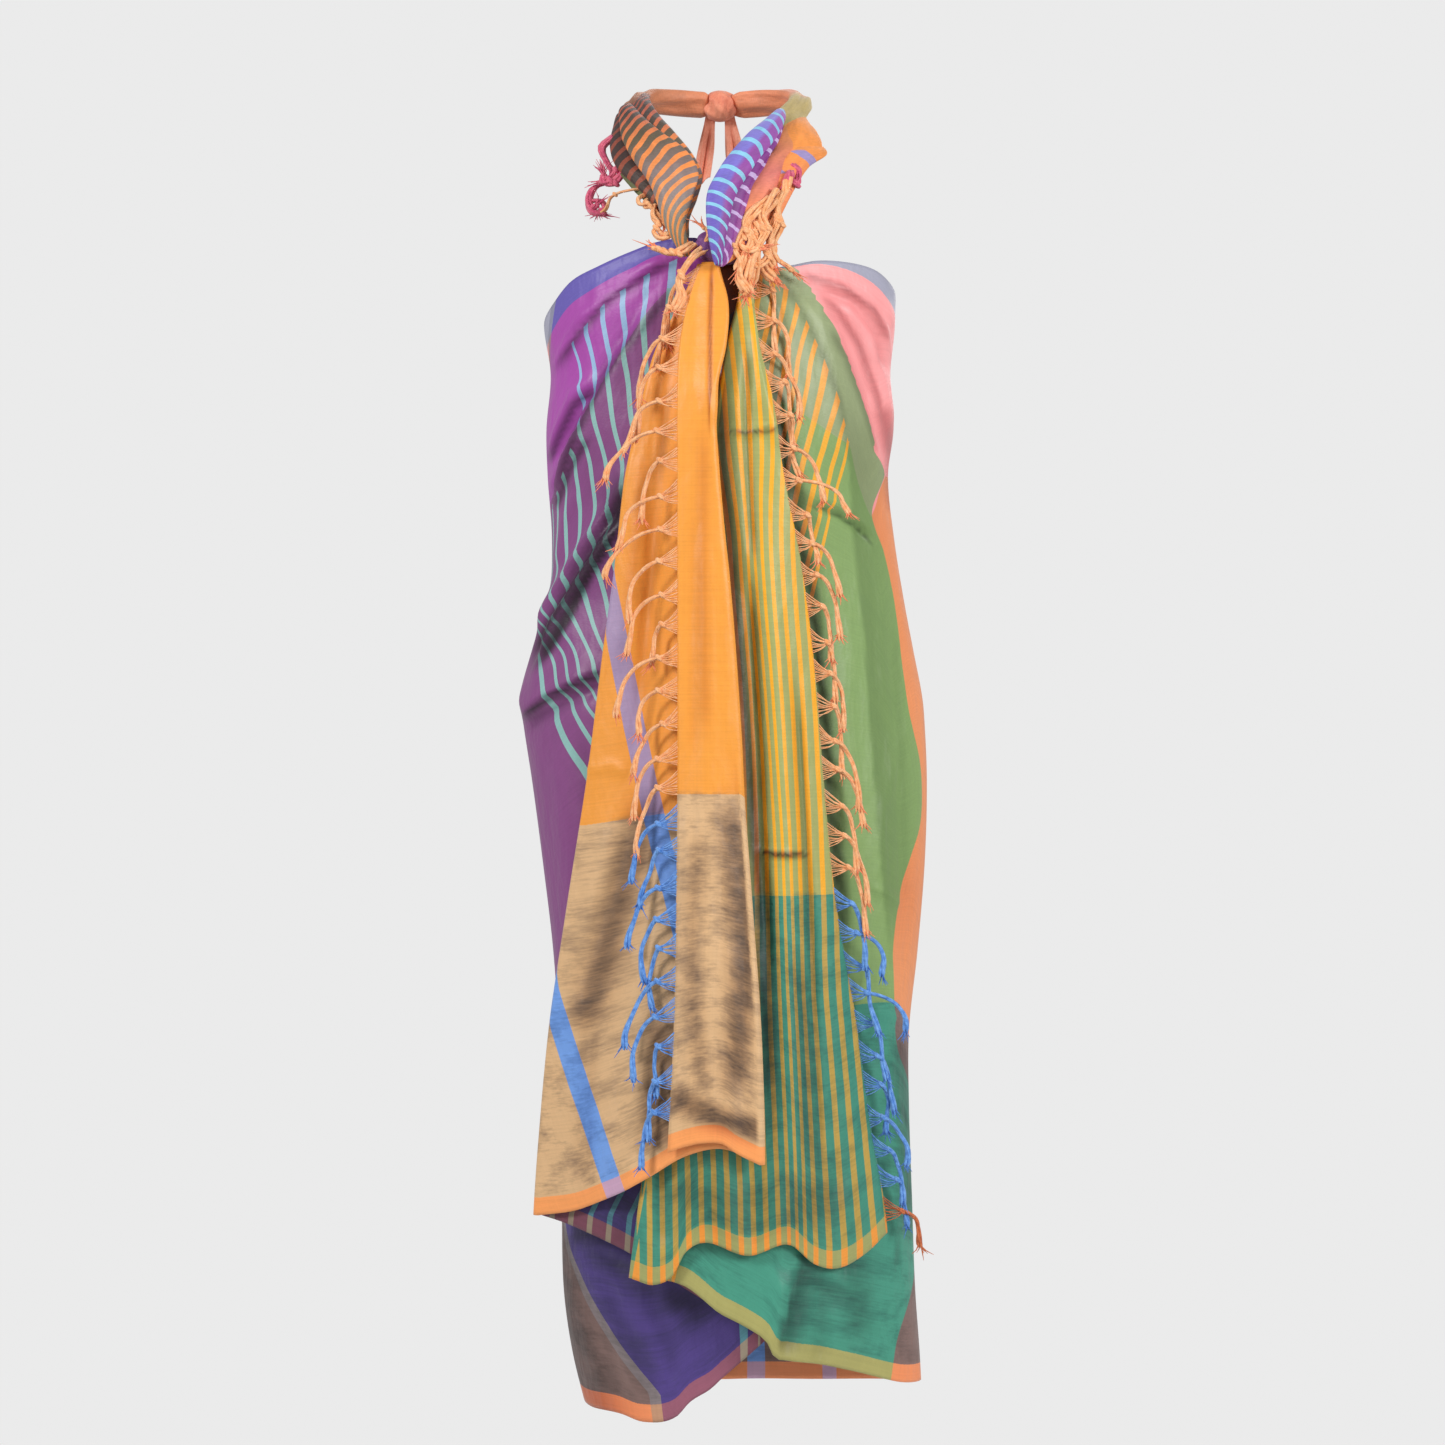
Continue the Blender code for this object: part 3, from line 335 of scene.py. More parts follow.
# %% Folds of each stretch
Fold = namedtuple("Fold", "lift upper_width lower_width line")
RIGHT_WRAP_FOLDS = [
    Fold(5.0, 16, 4, [(-30, 160), (-64, 177), (-90, 196), (-125, 218), (-136, 234), (-156, 268)]),
    Fold(-3.0, 5, 7, [(-40, 174), (-70, 190), (-96, 206), (-130, 232), (-142, 250)]),
    Fold(2.6, 5, 5, [(-45, 168), (-90, 184), (-124, 206)]),
    Fold(5.0, 20, 4, [
        (-40, 186), (-57, 204), (-70, 224), (-96, 262), (-122, 303), (-138, 342), (-153, 390),
    ]),
    Fold(-3.5, 4, 8, [(-64, 212), (-78, 232), (-104, 270), (-129, 312), (-146, 352)]),
    Fold(9.0, 26, 6, [
        (-78, 352), (-92, 386), (-108, 412), (-124, 437), (-142, 466), (-158, 490), (-176, 524),
    ]),
    Fold(-11.0, 5, 7, [
        (-80, 374), (-96, 405), (-112, 430), (-128, 455), (-147, 484), (-162, 508), (-180, 545),
    ]),
    Fold(6.0, 6, 26, [(-84, 400), (-104, 430), (-122, 456), (-142, 484), (-156, 508), (-176, 545)]),
    Fold(6.0, 22, 4, [(-188, 590), (-172, 576), (-157, 566), (-135, 556), (-105, 540)]),
    Fold(-4.0, 4, 8, [(-184, 602), (-168, 588), (-150, 577), (-128, 566), (-100, 554)]),
    Fold(3.6, 8, 4, [(-108, 270), (-134, 288), (-150, 322), (-158, 350)]),
    Fold(-3.0, 4, 6, [(-104, 284), (-128, 300), (-144, 330), (-152, 352)]),
    Fold(3.2, 8, 5, [(-126, 320), (-144, 350), (-158, 380)]),
    Fold(-2.8, 5, 6, [(-122, 332), (-138, 360), (-152, 392)]),
    Fold(2.4, 6, 6, [(-130, 375), (-142, 405), (-150, 450)]),
    Fold(2.4, 7, 8, [(-176, 560), (-150, 520), (-132, 500)]),
    Fold(2.4, 10, 12, [(-150, 600), (-134, 760), (-138, 1000)]),
    Fold(-2.4, 9, 9, [(-128, 590), (-116, 700), (-120, 840)]),
    Fold(-2.6, 10, 10, [(-150, 1080), (-110, 1150), (-90, 1220)]),
    Fold(3.0, 12, 10, [(-120, 1060), (-80, 1120), (-50, 1190)]),
    Fold(-2.4, 8, 8, [(-70, 1100), (-50, 1150), (-40, 1200)]),
]
LEFT_WRAP_FOLDS = [
    Fold(4.0, 8, 4, [(78, 180), (126, 186), (152, 208), (162, 232)]),
    Fold(4.0, 10, 4, [(92, 200), (118, 216), (134, 236), (150, 280), (160, 330)]),
    Fold(-3.0, 4, 7, [(88, 210), (114, 228), (128, 250), (142, 300)]),
    Fold(2.4, 6, 4, [(100, 190), (130, 200), (156, 240)]),
    Fold(5.0, 9, 22, [(70, 184), (97, 222), (122, 290), (144, 358), (153, 390)]),
    Fold(-3.0, 5, 5, [(104, 222), (130, 286), (150, 344)]),
    Fold(3.4, 9, 14, [(56, 190), (91, 236), (105, 290), (118, 380)]),
    Fold(4.5, 4, 9, [(34, 186), (50, 216), (49, 262)]),
    Fold(-4.0, 4, 4, [(32, 182), (44, 200), (53, 222), (53, 262)]),
    Fold(3.6, 6, 5, [(84, 188), (124, 200), (148, 226), (158, 262)]),
    Fold(-3.2, 5, 5, [(80, 192), (121, 208), (144, 236), (152, 272)]),
    Fold(3.0, 6, 5, [(112, 250), (136, 290), (150, 340)]),
    Fold(-4.0, 4, 4, [(80, 392), (108, 400), (124, 412), (140, 428)]),
    Fold(2.6, 7, 5, [(84, 388), (110, 394), (128, 406), (142, 420)]),
    Fold(4.5, 9, 24, [(122, 425), (128, 520), (138, 640), (150, 780), (156, 900)]),
    Fold(-3.4, 9, 8, [(158, 470), (168, 640), (172, 800)]),
    Fold(2.4, 6, 8, [(177, 581), (146, 680), (134, 760)]),
    Fold(2.8, 8, 10, [(112, 460), (114, 600), (124, 760)]),
    Fold(-6.0, 16, 3, [(86, 1050), (68, 1110), (53, 1172)]),
    Fold(4.5, 3, 16, [(76, 1060), (62, 1110), (47, 1172)]),
    Fold(4.0, 14, 16, [(110, 1000), (118, 1190)]),
    Fold(-3.0, 10, 10, [(92, 1090), (90, 1180)]),
    Fold(2.4, 8, 12, [(150, 860), (165, 1000), (158, 1100)]),
    Fold(1.8, 4, 5, [(133, 742), (154, 750), (170, 762)]),
    Fold(1.8, 4, 5, [(140, 858), (170, 868)]),
]
BACK_FOLDS = [
    Fold(4.0, 20, 26, [(-150, 300), (-60, 520), (-30, 900)]),
    Fold(-3.5, 18, 24, [(-110, 330), (-20, 620), (10, 1100)]),
    Fold(4.0, 16, 24, [(150, 280), (70, 520), (60, 1000)]),
    Fold(-3.5, 26, 20, [(110, 420), (110, 900), (120, 1200)]),
    Fold(4.5, 24, 30, [(-100, 760), (-90, 1000), (-96, 1230)]),
    Fold(2.6, 12, 6, [(-150, 262), (-60, 300), (40, 310)]),
    Fold(2.6, 10, 6, [(140, 250), (80, 320), (-10, 350)]),
    Fold(2.8, 12, 7, [(-150, 470), (-70, 500), (20, 490)]),
    Fold(-2.2, 8, 8, [(150, 440), (80, 470), (10, 460)]),
    Fold(2.4, 10, 12, [(20, 640), (40, 900), (30, 1200)]),
]
PANEL_FOLDS = [
    Fold(3.0, 8, 12, [(-8, 178), (-6, 300)]),
    Fold(-4.5, 10, 14, [(-58, 650), (-100, 760), (-135, 860)]),
    Fold(4.0, 14, 14, [(-95, 640), (-118, 760), (-140, 1000)]),
    Fold(-3.0, 9, 10, [(-120, 850), (-125, 1030)]),
    Fold(3.5, 12, 12, [(-84, 800), (-98, 1030)]),
    Fold(3.0, 12, 14, [(-70, 330), (-84, 560)]),
    Fold(-2.6, 8, 8, [(-58, 380), (-72, 600)]),
    Fold(2.0, 4, 5, [(-120, 636), (-98, 630), (-82, 640)]),
    Fold(2.4, 7, 7, [(-60, 700), (-86, 770), (-112, 830)]),
    Fold(-2.4, 8, 8, [(-60, 820), (-64, 1000)]),
]
STRIP_FOLDS = [
    Fold(3.8, 3, 8, [(-9, 178), (-11, 290), (-8, 330)]),
    Fold(3.5, 12, 12, [(-14, 330), (-10, 640), (-16, 980)]),
    Fold(-3.0, 8, 8, [(16, 600), (24, 800), (24, 985)]),
    Fold(2.4, 6, 6, [(-30, 640), (-28, 980)]),
    Fold(-1.6, 5, 6, [(-22, 380), (-24, 640)]),
    Fold(1.6, 5, 6, [(4, 420), (8, 620)]),
]
LEFT_PANEL_FOLDS = [
    Fold(4.5, 4, 7, [(30, 220), (33, 262), (42, 300), (55, 350)]),
    Fold(-4.5, 5, 5, [(24, 240), (24, 330), (30, 460)]),
    Fold(4.5, 9, 11, [(38, 380), (56, 620), (68, 900), (74, 1090)]),
    Fold(-5.5, 6, 6, [(24, 440), (34, 640), (46, 860)]),
    Fold(-5.5, 5, 5, [(66, 520), (82, 800), (92, 1060)]),
    Fold(4.0, 9, 9, [(90, 700), (110, 900), (124, 1085)]),
    Fold(-4.0, 10, 8, [(-58, 980), (-52, 1070)]),
    Fold(4.0, 11, 11, [(4, 940), (8, 1080)]),
    Fold(-3.0, 8, 8, [(26, 960), (34, 1080)]),
    Fold(2.2, 3, 4, [(-14, 328), (28, 331), (54, 327)]),
    Fold(2.2, 3, 4, [(28, 706), (50, 710), (74, 712)]),
]


def distance_to_line(x, drop, line):
    """Signed distance to a line of points, and how far along it the nearest point is (0 to 1)."""
    points = np.array(line, float)
    lengths = np.linalg.norm(np.diff(points, axis=0), axis=1)
    starts = np.concatenate([[0], np.cumsum(lengths)]) / lengths.sum()
    best = np.full(np.shape(x), 1e9)
    signed = np.zeros(np.shape(x))
    along = np.zeros(np.shape(x))
    for i, (a, b) in enumerate(zip(points[:-1], points[1:])):
        run = b - a
        share = np.clip(((x - a[0]) * run[0] + (drop - a[1]) * run[1]) / (run @ run), 0, 1)
        away_x = x - (a[0] + share * run[0])
        away_drop = drop - (a[1] + share * run[1])
        far = np.hypot(away_x, away_drop)
        side = np.sign(away_x * run[1] - away_drop * run[0])
        nearer = far < best
        best = np.where(nearer, far, best)
        signed = np.where(nearer, far * side, signed)
        along = np.where(nearer, mix(starts[i], starts[i + 1], share), along)
    return signed, along


def fold_lift(folds, x, drop):
    """How far a stretch's folds lift it off its plain form."""
    lift = np.zeros(np.shape(x))
    for fold in folds:
        signed, along = distance_to_line(x, drop, fold.line)
        width = np.where(signed > 0, fold.upper_width, fold.lower_width)
        fade = ease(along * 5) * ease((1 - along) * 5)
        lift = lift + fold.lift * fade * np.exp(-((signed / width) ** 2))
    return lift


# Painted shade: each line darkens the cloth's colour beside it, where a crease, the lip of a fold or a layer above
# would throw shade, or where the silk's sheen turns dark. Depth is how dark it gets, and the two widths say how fast
# it fades right and left of the line.
Shade = namedtuple("Shade", "depth right_width left_width line")
RIGHT_WRAP_SHADES = [
    Shade(1.0, 4.5, 16, [
        (-76, 350), (-87, 390), (-96, 419), (-120, 457), (-139, 496), (-160, 528), (-180, 552),
    ]),
    Shade(0.85, 3.4, 5, [(-190, 592), (-160, 569), (-135, 557), (-100, 542)]),
    Shade(0.40, 14, 2, [(-150, 572), (-128, 564), (-96, 552)]),
    Shade(0.70, 6, 3, [(-30, 166), (-60, 180), (-102, 205), (-130, 235), (-158, 270)]),
    Shade(0.65, 4, 7, [(-30, 185), (-102, 271), (-136, 336), (-158, 396)]),
    Shade(0.75, 4, 6, [(-104, 282), (-134, 300), (-150, 332), (-160, 356)]),
    Shade(0.70, 4, 6, [(-118, 328), (-138, 360), (-154, 398)]),
    Shade(0.60, 18, 18, [(-150, 1050), (-100, 1085), (-60, 1110), (0, 1134)]),
    Shade(0.35, 12, 14, [(-112, 1110), (-80, 1160), (-60, 1210)]),
    Shade(0.35, 12, 12, [(-138, 1120), (-122, 1180), (-108, 1222)]),
    Shade(0.60, 26, 30, [(-158, 1040), (-150, 1110), (-132, 1190), (-100, 1250), (-80, 1290)]),
]
LEFT_WRAP_SHADES = [
    Shade(0.85, 12, 6, [
        (40, 226), (50, 302), (60, 365), (76, 446), (88, 536), (97, 644), (107, 753), (122, 840),
    ]),
    Shade(0.65, 20, 2, [(84, 1040), (66, 1110), (51, 1170)]),
    Shade(0.50, 10, 14, [(163, 870), (176, 980), (180, 1090)]),
    Shade(0.45, 16, 16, [(104, 1010), (122, 1090), (130, 1170)]),
    Shade(0.70, 2.4, 2.4, [(76, 392), (107, 402), (124, 412), (146, 432)]),
    Shade(0.60, 3.4, 6, [(66, 182), (110, 192), (142, 212), (163, 246)]),
    Shade(0.55, 3.4, 7, [(84, 198), (108, 214), (128, 244), (146, 290), (154, 330)]),
    Shade(0.45, 3.4, 6, [(96, 226), (116, 258), (134, 306), (148, 356)]),
    Shade(0.62, 12, 10, [(146, 290), (160, 345), (163, 405)]),
    Shade(0.55, 3.6, 3.6, [(28, 178), (42, 198), (51, 216), (51, 250)]),
    Shade(0.42, 4.5, 5, [(44, 170), (60, 196), (78, 226), (95, 262), (109, 298), (120, 345)]),
    Shade(0.34, 36, 2, [
        (98, 255), (120, 359), (123, 417), (134, 516), (141, 627), (152, 757), (160, 840),
    ]),
    Shade(0.45, 10, 14, [(60, 1085), (100, 1110), (150, 1120)]),
]
PANEL_SHADES = [
    Shade(0.80, 18, 15, [(-60, 640), (-70, 689), (-87, 738), (-102, 794), (-119, 847), (-132, 890)]),
    Shade(0.75, 22, 12, [(-52, 850), (-57, 900), (-60, 985)]),
    Shade(0.30, 6, 6, [(-110, 850), (-118, 920), (-118, 1020)]),
    Shade(0.25, 7, 7, [(-66, 340), (-80, 470), (-92, 560)]),
]
STRIP_SHADES = [
    Shade(0.85, 12, 16, [(6, 640), (11, 680), (22, 792), (19, 867), (10, 950)]),
    Shade(0.45, 11, 11, [(-16, 670), (-26, 792), (-22, 867), (-8, 950)]),
    Shade(0.85, 13, 13, [(-52, 922), (-36, 930), (-10, 942), (26, 955), (48, 960)]),
    Shade(0.70, 2.0, 2.0, [(-7, 166), (-9, 230), (-9, 300), (-8, 345)]),
    Shade(0.28, 6, 7, [(-14, 310), (-15, 450), (-12, 620)]),
]
LEFT_PANEL_SHADES = [
    Shade(0.95, 10, 8, [
        (8, 196), (6, 252), (0, 302), (3, 365), (10, 446), (18, 536), (27, 644), (36, 753),
        (43, 861), (46, 960), (46, 1010),
    ]),
    Shade(0.80, 2.4, 2.4, [(-24, 328), (6, 331), (28, 331), (60, 327)]),
    Shade(1.0, 3.4, 3.0, [(22, 704), (50, 711), (86, 712)]),
    Shade(0.50, 9, 12, [(66, 780), (74, 832), (80, 930), (82, 1010)]),
    Shade(0.50, 30, 26, [(-60, 1000), (10, 1030), (80, 1030), (130, 1020)]),
    Shade(0.55, 6, 5, [(24, 440), (34, 640), (46, 860)]),
]


def shade_depth(folds, shades, x, drop):
    """How deep in shade each point lies, from 0 to 1: down in a crease, or beside a layer above."""
    # The troughs of the folds are painted darker too: the deeper the trough, the darker the shade.
    troughs = [
        Shade(-fold.lift / 12, fold.upper_width, fold.lower_width, fold.line) for fold in folds if fold.lift < 0
    ]
    depth = np.zeros(np.shape(x))
    for shade in troughs + shades:
        signed, along = distance_to_line(x, drop, shade.line)
        width = np.where(signed > 0, shade.right_width, shade.left_width)
        fade = ease(along * 6) * ease((1 - along) * 6)
        depth = np.maximum(depth, np.clip(shade.depth, 0, 1) * fade * np.exp(-((signed / width) ** 2)))
    return depth


def ripple(x, drop):
    """Soft upright waves that all the hanging layers share. They grow towards the hem."""
    growth = ease((drop - 260) / 700)
    wave = np.sin(x / 13.5 + drop / 310) + 0.6 * np.sin(x / 23 - drop / 240 + 1.3)
    return growth * 2.2 * (1 + wave / 1.6)


# %% [markdown]
# Each layer's depth comes from the same few functions, so the layers never cross.

# %% Depths of the layers
def spread(drop):
    """How far the hanging layers have opened out below the knot, as a share."""
    low, high = SPREAD_DROPS
    return mix(KNOT_CLOSENESS, 1.0, ease((drop - low) / (high - low)))


def apron_y(x, drop):
    """The surface that the hanging layers are laid in front of."""
    return column(APRON, "y", drop) + APRON_CURVE * x * x


def turn_radius(drop):
    """Half the distance between neighbouring layers, where the cloth folds back."""
    return HIDDEN_LAYER / 2 * spread(drop)


def hidden_y(x, drop):
    """The hidden pleat, behind the right end's panel."""
    return apron_y(x, drop) - HIDDEN_LAYER * spread(drop) - ripple(x, drop)


def left_wrap_y(x, angle, drop):
    """The left wrap's depth: on the wall at the side, in front of the hidden pleat inside."""
    _, on_wall = wound_point(angle, drop)
    hanging = apron_y(x, drop) - LEFT_WRAP_LAYER * spread(drop) - ripple(x, drop)
    return mix(on_wall, hanging, ease((135 - x) / 85))


def left_panel_y(x, drop):
    """The striped end panel follows the left wrap, one layer further out."""
    gap = (LEFT_PANEL_LAYER - LEFT_WRAP_LAYER) * spread(drop)
    folds = fold_lift(LEFT_WRAP_FOLDS, x, drop)
    inside = ease((135 - x) / 60)
    return left_wrap_y(x, angle_at(x, drop), drop) - gap - mix(folds, 0, inside) - 1.5 * (1 - inside)


def right_panel_y(x, drop):
    """The right end's panel: close to the hidden pleat at its free side, over the others inside."""
    left_fold = column(EDGES, "left_fold", drop)
    layer = mix(HIDDEN_LAYER + 9, RIGHT_PANEL_LAYER, ease((x - left_fold + 48) / 40))
    return apron_y(x, drop) - layer * spread(drop) - ripple(x, drop)


def strip_y(x, drop):
    """The turned-back strip that ends in the fringe."""
    return apron_y(x, drop) - STRIP_LAYER * spread(drop) - ripple(x, drop)


def turned(x, back_y, front_y, share, bulge):
    """Half a circle round a fold, from the back layer to the front one. Bulge is its side."""
    angle = pi * (share - 0.5)
    middle_y = (back_y + front_y) / 2
    radius = (back_y - front_y) / 2
    return x + bulge * radius * np.cos(angle), middle_y - radius * np.sin(angle)


# %% [markdown]
# ## The weave's own measures
#
# Every point of the cloth knows where it lies in the weave: weft is its distance along the
# cloth from the right end's fringe, warp its distance from the top selvedge, both in metres.
# They are stored as the piece's UV map. Lines whose place is known on the hung cloth give
# the weft measure, and the points between take theirs from the lines on each side.

# %% Lines of known weft on the wound cloth
WeaveLine = namedtuple("WeaveLine", "weft places")
RIGHT_STRIPE_PITCH = 0.018
LEFT_STRIPE_PITCH = 0.0125
PURPLE_BAND = (0.5554, 0.7594)
PURPLE_END = 0.80
GREY_END = 0.812
CORAL_END = 1.36
PLAIN_GREEN_END = 1.50
CORAL_EDGE = [
    (170, 204), (296, 210), (330, 211.6), (336, 211), (342, 209.8), (361, 197), (368, 199), (402, 209), (434, 203), (494, 200),
    (581, 203), (639, 195), (682, 195), (716, 202), (803, 212), (827, 210), (858, 206), (900, 200),
    (925, 188), (945, 176), (1060, 171), (1090, 176), (1104, 183), (1130, 196), (1160, 207), (1200, 213),
]
PLEAT_EDGE = [(170, 250), (186, 244), (214, 237.5), (232, 232), (251, 227), (296, 218), (342, 210)]
PLEAT_END = 335
FIRST_STRIPE = [(170, -75), (266, -72), (370, -77), (443, -80), (572, -92), (709, -112), (921, -125)]
SIXTH_STRIPE = [
    (170, -33), (196, -33.4), (237, -34.4), (274, -36.2), (315, -38.5), (352, -42.8), (388, -43.8),
    (426, -44), (457, -46.5), (498, -52.7), (535, -60.9), (563, -64.6), (599, -78.5), (641, -85.5),
    (709, -96.8), (921, -112),
]


def line_between(first, second, share):
    """The places of a line part of the way between two others."""
    drops = sorted({place[0] for place in first + second})
    ends = [np.interp(drops, *zip(*line)) for line in (first, second)]
    return list(zip(drops, mix(ends[0], ends[1], share)))


WOUND_LINES = [
    WeaveLine(0.530, [(150, -92), (266, -92), (443, -100), (709, -126), (921, -140)]),
    *[
        WeaveLine(0.558 + 0.090 * share, line_between(FIRST_STRIPE, SIXTH_STRIPE, share))
        for share in (0, 0.2, 0.4, 0.6, 0.8, 1)
    ],
    WeaveLine(0.756, [
        (196, -30), (241, -20), (275, -8), (296, -2), (352, 0), (457, 2), (485, 0), (512, -14), (535, -24),
        (563, -32), (599, -37), (641, -46), (709, -60), (829, -83), (921, -97)]),
    WeaveLine(PURPLE_END, [
        (200, -24), (232, -17), (268, -2), (300, 3), (388, 8), (847, 8), (985, 4), (1065, -15.7),
        (1138, -40.5), (1206, -66),
    ]),
    WeaveLine(GREY_END, [
        (200, -20), (232, -13), (268, 2), (300, 8), (388, 13), (847, 13), (985, 9), (1065, -10),
        (1138, -34.5), (1206, -61),
    ]),
    WeaveLine(1.06, [(150, 90), (1240, 90)]),
    WeaveLine(1.18, [(150, 124), (1240, 124)]),
    WeaveLine(1.30, [(150, 158), (1240, 158)]),
    *[
        WeaveLine(CORAL_END + beyond * 0.003, [(drop, place + beyond) for drop, place in CORAL_EDGE])
        for beyond in (-4, 0, 4)
    ],
    WeaveLine(PLAIN_GREEN_END, [
        (170, 212), (200, 214), (228, 216.5), (260, 219), (296, 221), (327, 224), (360, 224.5), (405, 231),
        (475, 240), (563, 250), (709, 259), (985, 277), (1113, 287.5)]),
    WeaveLine(1.55, [
        (170, 232), (200, 234), (228, 236), (260, 238), (281, 239), (315, 242), (361, 246), (407, 250), (480, 257),
        (572, 264.5), (709, 272), (985, 292)]),
    WeaveLine(1.6125, [
        (170, 255), (200, 256.5), (229, 258), (260, 260), (315, 263.5), (388, 268), (526, 276), (709, 286),
        (985, 313)]),
]


def read_weft(lines, place, drop):
    """The weft measure between lines of known weft, read smoothly along a row of the cloth."""
    at = np.array([smooth_read(*zip(*line.places), drop) for line in lines])
    at = np.maximum.accumulate(at, axis=0) + 0.01 * np.arange(len(lines))[:, None]
    values = np.array([line.weft for line in lines])
    steps = np.diff(at, axis=0)
    rises = np.diff(values)[:, None] / steps
    inner = 2 * rises[:-1] * rises[1:] / (rises[:-1] + rises[1:])
    slopes = np.concatenate([rises[:1], inner, rises[-1:]])
    weft = values[0] + (place - at[0]) * slopes[0]
    for i in range(len(lines) - 1):
        t = np.clip((place - at[i]) / steps[i], 0, 1)
        between = (
            values[i] * (1 + 2 * t) * (1 - t) ** 2
            + values[i + 1] * t * t * (3 - 2 * t)
            + slopes[i] * steps[i] * t * (1 - t) ** 2
            - slopes[i + 1] * steps[i] * t * t * (1 - t)
        )
        weft = np.where(place >= at[i], between, weft)
    return np.where(place > at[-1], values[-1] + (place - at[-1]) * slopes[-1], weft)


def pleat_weft(turn, drop):
    """The weft measure on the pleat that lies over the stripes: coral, and plain green inside."""
    edge = np.interp(drop, *zip(*PLEAT_EDGE))
    coral = mix(1.30, CORAL_END, (turn - 158) / (edge - 158))
    return np.where(turn < edge, coral, CORAL_END + 0.05 + (turn - edge) * 0.003)


# %% Lines of known warp
CLOTH_WIDTH = 1.12
TOP_BORDER = 0.025
PINK_END = 0.20
ORANGE_END = 0.75
HEM_BORDER = 1.10
PINK_LINE = [
    (-104, 178), (-73, 196), (-51, 271), (-33.6, 336), (-18, 374), (0, 395), (30, 407), (60, 416),
    (90, 419), (120, 417), (145, 410), (170, 400),
    (188, 362), (196, 362), (200, 370), (205, 390), (210, 402), (217, 370), (224, 337), (230, 330),
    (250, 300), (300, 280),
]
BLUE_LINE = [
    (-104, 800), (-60, 830), (0, 860), (90, 880), (180, 893), (200, 855), (260, 850), (300, 800),
]

BORDER_SHOWN = [
    (-104, 6), (-85, 11), (-70, 15), (-50, 19), (-25, 22), (0, 25), (185, 25), (200, 19), (213, 12),
    (225, 6), (238, 2), (300, 2),
]


def read_warp(top, pink, blue, hem, drop, shown=TOP_BORDER / MM):
    """The warp measure from the drops of the colour changes. Shown is the top border's width."""
    border = top + shown * 0.94
    hem_border = hem - (CLOTH_WIDTH - HEM_BORDER) * 940
    pink = np.maximum(pink, border + 1)
    blue = np.minimum(np.maximum(blue, pink + 1), hem_border - 1)
    levels = [top, border, pink, blue, hem_border, hem]
    values = [TOP_BORDER - shown * MM, TOP_BORDER, PINK_END, ORANGE_END, HEM_BORDER, CLOTH_WIDTH]
    warp = np.zeros(np.shape(drop))
    for i in range(len(levels) - 1):
        share = (drop - levels[i]) / (levels[i + 1] - levels[i])
        warp = np.where(drop >= levels[i] - 1e-6, mix(values[i], values[i + 1], share), warp)
    return warp


# %% [markdown]
# ## Laying the cloth
#
# A grid stands for the flat cloth. A form function says where each point of the grid hangs
# and what it measures in the weave. Solidify then gives the sheet its thickness.

# %% Lay a grid on a form
def cloth_sheet(name, form, columns, rows):
    bm = bmesh.new()
    bmesh.ops.create_grid(bm, x_segments=columns, y_segments=rows, size=0.5)
    spots = np.array([v.co for v in bm.verts])
    along = np.clip(spots[:, 0] + 0.5, 0, 1)
    down = np.clip(0.5 - spots[:, 1], 0, 1)
    x, y, drop, weft, warp, plain, depth = form(along, down)
    for v, px, py, pd in zip(bm.verts, x, y, drop):
        v.co = Vector((px, py, -pd)) * MM
    weave = bm.loops.layers.uv.new("weave")
    for face in bm.faces:
        for loop in face.loops:
            i = loop.vert.index
            loop[weave].uv = (weft[i], warp[i])
    stripeless = bm.verts.layers.float.new("stripeless")
    # The shaded attribute carries the painted shade, which the material uses to darken the colour.
    shaded = bm.verts.layers.float.new("shaded")
    for v, bare, deep in zip(bm.verts, plain, depth):
        v[stripeless] = bare
        v[shaded] = deep
    piece = new_piece(name, bm)
    wall = piece.modifiers.new("wall", "SOLIDIFY")
    wall.thickness = CLOTH_WALL
    wall.offset = 0.0
    return piece


# %% The wound cloth: right wrap, back and left wrap in one
def behind_gap(drop):
    """How much further the hidden layers reach, where a gap opens below the knot."""
    # The hidden layers reach into the gap, and their painted shade stands in for the shadow seen there.
    return 34 * (1 - ease((drop - 215) / 60))


def right_wrap(along, down):
    drop = mix(level(RIGHT_WRAP_TOP, along), level(RIGHT_WRAP_HEM, along), down)
    fold_x = column(EDGES, "inner_fold", drop) - turn_radius(drop)
    angle = mix(0, angle_at(fold_x, drop), along)
    further = angle_at(fold_x + behind_gap(drop), drop) - angle_at(fold_x, drop)
    angle = angle + further * ease((along - 0.82) / 0.18)
    x, y = wound_point(angle, drop)
    hidden_side = ease((x + 30) / 40)
    lift = fold_lift(RIGHT_WRAP_FOLDS, x, drop) * (1 - hidden_side) * ease(angle / SEAM_FADE)
    x, y = lifted(x, y, angle, lift)
    return x, y, drop, -angle


def back_wrap(along, down):
    drop = mix(level(BACK_TOP, along), level(BACK_HEM, along), down)
    angle = mix(180, 360, along)
    x, y = wound_point(angle, drop)
    side = np.abs(np.sin(np.radians(angle)))
    wave = 2.5 * ease((drop - 500) / 600) * np.sin(np.radians(angle) * 9 + drop / 260)
    x, y = lifted(x, y, angle, (fold_lift(BACK_FOLDS, x, drop) + wave) * ease(side * 2.5))
    return x, y, drop, 360 - angle


